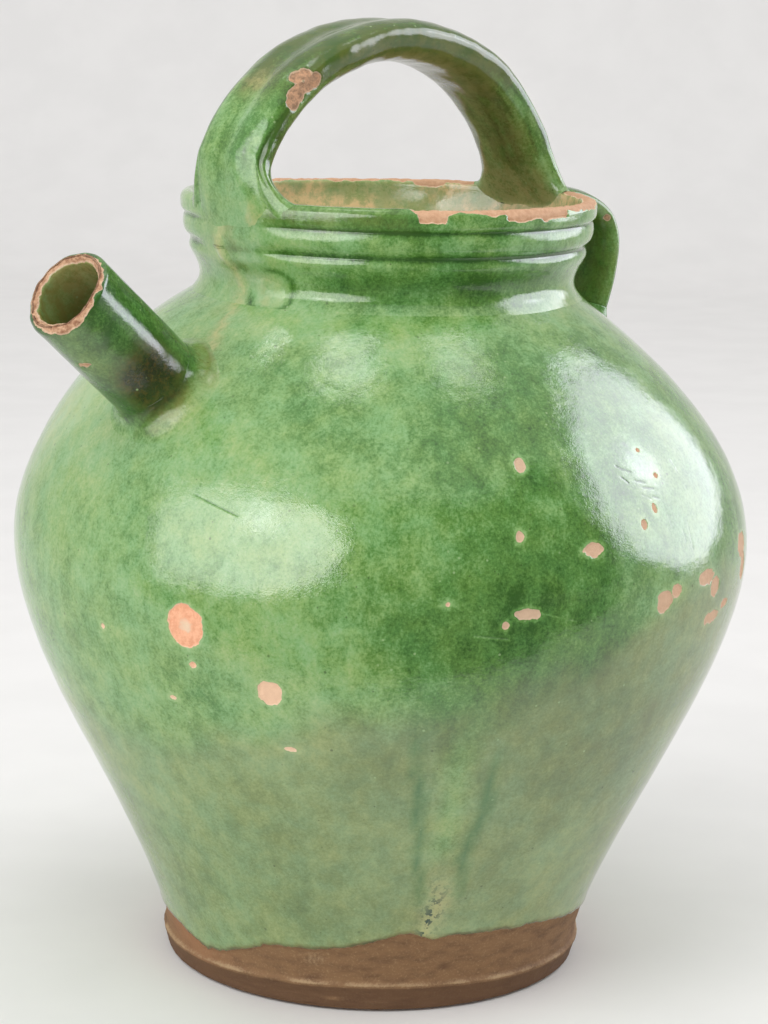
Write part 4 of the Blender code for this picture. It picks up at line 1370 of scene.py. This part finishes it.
def rear_path():
    """Centre line as (x, z), from just above the shoulder, out and up to the rim's back."""
    foot = np.array([POT.radius(POT.along_at(REAR_FOOT_HEIGHT)), REAR_FOOT_HEIGHT])
    foot_handle = foot + REAR_FOOT_REACH * spokes(REAR_FOOT_LEAN)[::-1]
    top = np.array([RIM_RADIUS - RIM_WALL, RIM_HEIGHT - REAR_TOP_DROP])
    top_handle = top + np.array([REAR_TOP_REACH, 0])
    path = bezier(top, top_handle, foot_handle, foot, REAR_STEPS) * np.array([-1, 1])
    clear = (path[:, 0] < -RIM_RADIUS - 5 * MM) | (path[:, 1] < RIM_HEIGHT - 12 * MM)
    return path[clear & (path[:, 1] > REAR_FOOT_HEIGHT + 9 * MM)][::-1]


def build_rear_handle():
    angle = side_angles(REAR_SIDES)
    rings, headings = strap_rings(rear_path(), angle, REAR_WIDTH, REAR_THICKNESS, REAR_GROOVE)
    share = np.linspace(0, 1, REAR_TOP_STEPS)
    loop = landing(COLLAR, math.pi, CREST - REAR_TOP_SEAT, angle, -1, *REAR_TOP_FOOT)
    top = strap_foot(rings[-1], headings[-1], loop, REAR_TOP_PULLS, share)[1:]
    skin = np.concatenate([rings, top])
    around = np.tile(angle, len(skin))
    edge = np.abs(np.cos(around)) ** 10
    inner = ease(0.0, 0.6, -np.sin(around))
    marks = {"olive": 0.3 * edge + 0.3 * inner, "tone": -0.55 - 0.35 * inner + 0.3 * edge}
    calm = np.concatenate([np.ones(len(rings)), 1 - share[1:]])
    add_strap("glazed_rear_handle", skin, REAR_LUMPS, calm, REAR_CHIPS, marks, HANDLE_GLAZE, "rear_handle")
    build_rear_foot(rings[0], -headings[0], angle)


def build_rear_foot(ring, heading, angle):
    """Clay smoothed from the rear handle's foot onto the shoulder, with a thumbed tail."""
    share = np.linspace(0, 1, REAR_FOOT_STEPS)
    along = POT.along_at(REAR_FOOT_HEIGHT - 2 * MM)
    loop = landing(POT, math.pi, along, angle, -1, *REAR_LOW_FOOT)
    skin = strap_foot(ring, heading, loop, REAR_LOW_PULLS, share)
    marks = {"olive": np.repeat(0.5 * share, len(angle)), "tone": -0.3}
    add_strap("rear_handle_foot", skin, REAR_LUMPS, 1 - share, [], marks, JOINT_GLAZE, "rear_handle_wad")


def build_bail_smear():
    """Clay dragged down from the bail's front root over the bands, with a thumbed lump beside it."""
    across, down = np.meshgrid(np.linspace(*SMEAR_SIDES, SMEAR_COLUMNS),
                               np.linspace(SMEAR_TOP, SMEAR_BOTTOM, SMEAR_ROWS))
    aside = across.reshape(-1)
    height = down.reshape(-1)
    azimuth = smear_spine(height) + aside / RIM_RADIUS
    along = COLLAR.along_at(height)
    plain = COLLAR.place(azimuth, along)
    skin, fill = collar_skin(azimuth, along, plain)[2:]
    ridge = band(aside, 0.2, 3.6) * ease(SMEAR_BOTTOM, SMEAR_BOTTOM + 9 * MM, height)
    ridge = ridge * rise(262, 253, height)
    reach = lump_reach(azimuth, height) + 0.12 * noise(plain, 5, 82)
    lump = ease(1.25, 0.10, reach)
    uneven = 1 + 0.45 * noise(plain, 7, 81)
    buried = 0.35 + 0.6 * ease(0.25, 0.05, np.maximum(ridge, lump))
    proud = ((0.95 * ridge + 1.1 * lump) * uneven - buried) * MM
    over = pushed_out(COLLAR.place(azimuth, along, skin + proud), fill)
    under = pushed_out(COLLAR.place(azimuth, along, skin - 3 * MM), fill)
    cells = np.arange(aside.size).reshape(across.shape)
    quads = np.stack([cells[:-1, :-1], cells[:-1, 1:], cells[1:, 1:], cells[1:, :-1]], -1).reshape(-1, 4)
    border = np.concatenate([cells[0], cells[1:, -1], cells[-1, -2::-1], cells[-2:0:-1, 0]])
    after = np.roll(border, -1)
    edge = np.stack([border, after, after + cells.size, border + cells.size], -1)
    faces = np.concatenate([quads, quads[:, ::-1] + cells.size, edge]).tolist()
    tone, olive, amber = smear_marks(azimuth, height, plain)
    marks = {"tone": np.tile(0.25 + tone, 2), "olive": np.tile(olive, 2), "amber": np.tile(amber, 2),
             "pale": 0.55, "bare": 3.0}
    add_piece("bail_smear", np.concatenate([over, under]), faces, marks, JOINT_GLAZE, "bail_front_wad")


# Studio

CAMERA_DISTANCE = 0.9356
CAMERA_AZIMUTH = 47 * DEGREE
CAMERA_HEIGHT = 0.3437
CAMERA_PITCH = 11.254 * DEGREE
CAMERA_YAW = 0.068 * DEGREE
CAMERA_ROLL = 1.478 * DEGREE
CAMERA_LENS = 95.17
SENSOR_WIDTH = 36.0
CAMERA_CLIP = 0.05

FLOOR_COLOUR = (0.86, 0.85, 0.84)
FLOOR_REACH = 6.0
BACKDROP_DISTANCE = 2.6
BACKDROP_BEND = 0.6
BACKDROP_TOP = 3.5
# Dark card as (toward the camera, height), and its wing as (toward the camera, to its right, height)
SHADE_COLOUR = (0.16, 0.165, 0.16)
SHADE_PROFILE = [(0.235, 1 * MM), (1.7, 1 * MM), (1.9, 0.2), (1.9, 2.4)]
SHADE_REACH = 1.3
SHADE_WING = [(1.9, 1.3, 2.4), (1.9, 1.3, 0.0), (0.55, 1.9, 0.0), (0.55, 1.9, 2.4)]

PITCHER_MIDDLE = Vector((0, 0, 0.16))
DOME_LEVEL = 0.78
LAMP_DISTANCE = 2.0
LAMP_SIZE = 1.4
# Azimuth and elevation of each lamp in degrees, and its level as for a white surface
LAMPS = {"left_key": (0, 38, 0.36), "right_key": (150, 45, 0.18), "front_fill": (50, 70, 0.14)}
SOFTBOX_DISTANCE = 1.25
# Corners of the glowing cloths, as shares of their distance
RIGHT_BOX = [
    (0.10, 0.51), (0.29, 0.31), (0.31, 0.19), (0.37, 0.05), (0.39, -0.09), (0.41, -0.20), (0.34, -0.30),
    (0.21, -0.38), (0.03, -0.45), (-0.10, -0.55), (-0.38, -0.51), (-0.67, -0.25), (-0.81, -0.07),
    (-0.75, 0.18), (-0.63, 0.39), (-0.43, 0.51), (-0.20, 0.56), (0.03, 0.53),
]
LEFT_BOX = [
    (-0.61, -0.09), (-0.66, 0.30), (-0.42, 0.36), (-0.11, 0.46), (0.11, 0.54), (0.39, 0.42), (0.58, 0.32),
    (0.63, -0.13), (0.53, -0.29), (0.31, -0.46), (0.02, -0.61), (-0.32, -0.65), (-0.56, -0.51),
]
NEAR_CEILING = [(-0.077, -0.148), (-0.093, 0.074), (-0.037, 0.118), (0.085, 0.117), (0.085, -0.093)]
FAR_CEILING = [(0.055, 0.124), (0.077, -0.039), (0.047, -0.131), (-0.091, -0.097), (-0.083, 0.096)]
SMALL_CEILING = [(-0.02, -0.018), (-0.018, 0.012), (0.0, 0.02), (0.02, 0.012), (0.018, -0.018)]
# Where across a cloth its glow changes, and the outer and the inner radius of a bright core
GLOW_SIDES = (-0.65, 0.45)
CORE_RADII = (0.17, 0.01)
# The place that each cloth faces, its azimuth and elevation from there, its corners, its glow from one
# side to the other, its colour, and the glow and place of its bright core
WHITE = (1, 1, 1)
NO_CORE = (0.0, (0, 0))
SOFTBOXES = {
    "right_softbox": ((-0.016, 0.107, 0.19), 166.9, 21.5, RIGHT_BOX, (6.0, 4.3), (0.96, 0.95, 1.07),
                      (5.0, (-0.17, 0.142))),
    "left_softbox": ((0.108, 0.057, 0.169), 2.9, 20.0, LEFT_BOX, (3.1, 4.5), (1.0, 0.98, 1.0),
                     (4.5, (0.04, 0.25))),
    "near_ceiling": ((0.065, 0.054, 0.222), -61.6, 81.8, NEAR_CEILING, (4.2, 4.2), WHITE, NO_CORE),
    "far_ceiling": ((0.037, 0.075, 0.222), 158.9, 71.8, FAR_CEILING, (3.3, 3.3), WHITE, NO_CORE),
    "small_ceiling": ((0.074, 0.028, 0.227), -79.0, 62.0, SMALL_CEILING, (20.0, 20.0), WHITE, NO_CORE),
}


def toward_camera(forward, aside, height):
    """A point given by its distance from the axis toward the camera, and to the camera's right."""
    cosine = math.cos(CAMERA_AZIMUTH)
    sine = math.sin(CAMERA_AZIMUTH)
    return (forward * cosine - aside * sine, forward * sine + aside * cosine, height)


def build_camera():
    data = bpy.data.cameras.new("camera")
    data.lens = CAMERA_LENS
    data.sensor_width = SENSOR_WIDTH
    data.clip_start = CAMERA_CLIP
    camera = add_object("camera", data)
    turn = Matrix.Rotation(CAMERA_AZIMUTH + math.pi / 2 - CAMERA_YAW, 4, 'Z')
    tilt = Matrix.Rotation(math.pi / 2 - CAMERA_PITCH, 4, 'X')
    roll = Matrix.Rotation(CAMERA_ROLL, 4, 'Z')
    place = Matrix.Translation(toward_camera(CAMERA_DISTANCE, 0.0, CAMERA_HEIGHT))
    camera.matrix_world = place @ turn @ tilt @ roll
    bpy.context.scene.camera = camera


def direction_of(azimuth, elevation):
    """A unit step at an azimuth and an elevation in degrees."""
    flat = math.cos(elevation * DEGREE)
    x = flat * math.cos(azimuth * DEGREE)
    y = flat * math.sin(azimuth * DEGREE)
    return Vector((x, y, math.sin(elevation * DEGREE)))


def plain_material(name, colour):
    material = bpy.data.materials.new(name)
    nodes = Nodes(material)
    uneven = nodes.span(nodes.cloud(60, 3, 0.5), 0.3, 0.7)
    shaded = tuple(0.97 * part for part in colour)
    nodes.shade({"Base Color": nodes.mix(uneven, shaded, colour), "Roughness": 0.9,
                 "Specular IOR Level": 0.1})
    return material


def add_stage(name, points, faces, material):
    stage = add_mesh(name, points, faces, material)
    return stage


def reflection_only(stage):
    for rays in ("camera", "diffuse", "shadow", "transmission", "volume_scatter"):
        setattr(stage, "visible_" + rays, False)


def build_floor():
    """Pale floor that sweeps up into a backdrop on the far side."""
    bend_start = -BACKDROP_DISTANCE + BACKDROP_BEND
    rows = [(forward, 0.0) for forward in np.linspace(FLOOR_REACH, bend_start, 12)]
    for angle in np.linspace(0, 90, 13)[1:] * DEGREE:
        rows.append((bend_start - BACKDROP_BEND * math.sin(angle),
                     BACKDROP_BEND - BACKDROP_BEND * math.cos(angle)))
    rows.append((-BACKDROP_DISTANCE, BACKDROP_TOP))
    sides = (-FLOOR_REACH, 0.0, FLOOR_REACH)
    points = [toward_camera(forward, aside, height) for forward, height in rows for aside in sides]
    corners = [row * 3 + side for row in range(len(rows) - 1) for side in range(2)]
    faces = [(corner, corner + 1, corner + 4, corner + 3) for corner in corners]
    add_stage("floor", points, faces, plain_material("floor_pale", FLOOR_COLOUR))


def build_shade():
    """Dark card on the camera's side, seen only in the glaze's reflections, as a dim room would be."""
    points = [toward_camera(forward, aside, height)
              for forward, height in SHADE_PROFILE for aside in (-SHADE_REACH, SHADE_REACH)]
    faces = [(2 * row, 2 * row + 1, 2 * row + 3, 2 * row + 2) for row in range(len(SHADE_PROFILE) - 1)]
    faces.append(tuple(range(len(points), len(points) + len(SHADE_WING))))
    points += [toward_camera(*corner) for corner in SHADE_WING]
    reflection_only(add_stage("shade_card", points, faces, plain_material("shade_card", SHADE_COLOUR)))


def add_lamp(name, azimuth, elevation, level):
    """Soft lamp that lights the scene but is not itself seen in the glaze."""
    data = bpy.data.lights.new(name, 'AREA')
    data.shape = 'DISK'
    data.size = LAMP_SIZE
    data.energy = level * math.pi ** 2 * LAMP_DISTANCE ** 2
    lamp = add_object(name, data)
    direction = direction_of(azimuth, elevation)
    lamp.location = PITCHER_MIDDLE + direction * LAMP_DISTANCE
    lamp.rotation_euler = direction.to_track_quat('Z', 'Y').to_euler()
    lamp.visible_camera = False
    lamp.visible_glossy = False


def add_softbox(name, aim, azimuth, elevation, corners, glow, colour, core):
    """Glowing cloth seen only as a reflection, with a glow that changes across it and a bright core."""
    material = bpy.data.materials.new(name)
    nodes = Nodes(material)
    core_glow, core_place = core
    across = nodes.add("SeparateXYZ", "X", {0: nodes.place})
    ends = {0: nodes.place, 1: (*core_place, 0)}
    from_core = nodes.add("VectorMath", "Value", ends, operation='DISTANCE')
    cloth = nodes.span(across, *GLOW_SIDES, *glow)
    bulb = nodes.span(from_core, *CORE_RADII, 0.0, core_glow)
    nodes.shade({"Emission Strength": cloth + bulb, "Emission Color": (*colour, 1.0),
                 "Base Color": (0.0, 0.0, 0.0, 1.0), "Specular IOR Level": 0.0})
    points = [(across, up, 0.0) for across, up in corners]
    box = add_stage(name, points, [tuple(range(len(points)))], material)
    direction = direction_of(azimuth, elevation)
    turn = direction.to_track_quat('Z', 'Y').to_matrix().to_4x4()
    size = Matrix.Diagonal((SOFTBOX_DISTANCE, SOFTBOX_DISTANCE, 1.0, 1.0))
    box.matrix_world = Matrix.Translation(Vector(aim) + direction * SOFTBOX_DISTANCE) @ turn @ size
    reflection_only(box)


def build_lights():
    for name, numbers in SOFTBOXES.items():
        add_softbox(name, *numbers)
    for name, numbers in LAMPS.items():
        add_lamp(name, *numbers)
    world = bpy.data.worlds.new("studio")
    bpy.context.scene.world = world
    world.use_nodes = True
    background = world.node_tree.nodes["Background"]
    background.inputs["Color"].default_value = (1.0, 1.0, 1.0, 1.0)
    background.inputs["Strength"].default_value = DOME_LEVEL


build_pot()
build_collar()
build_spout()
build_spout_fillet()
build_bail()
build_bail_smear()
build_rear_handle()
build_camera()
build_floor()
build_shade()
build_lights()

bpy.context.scene.view_settings.view_transform = 'Standard'
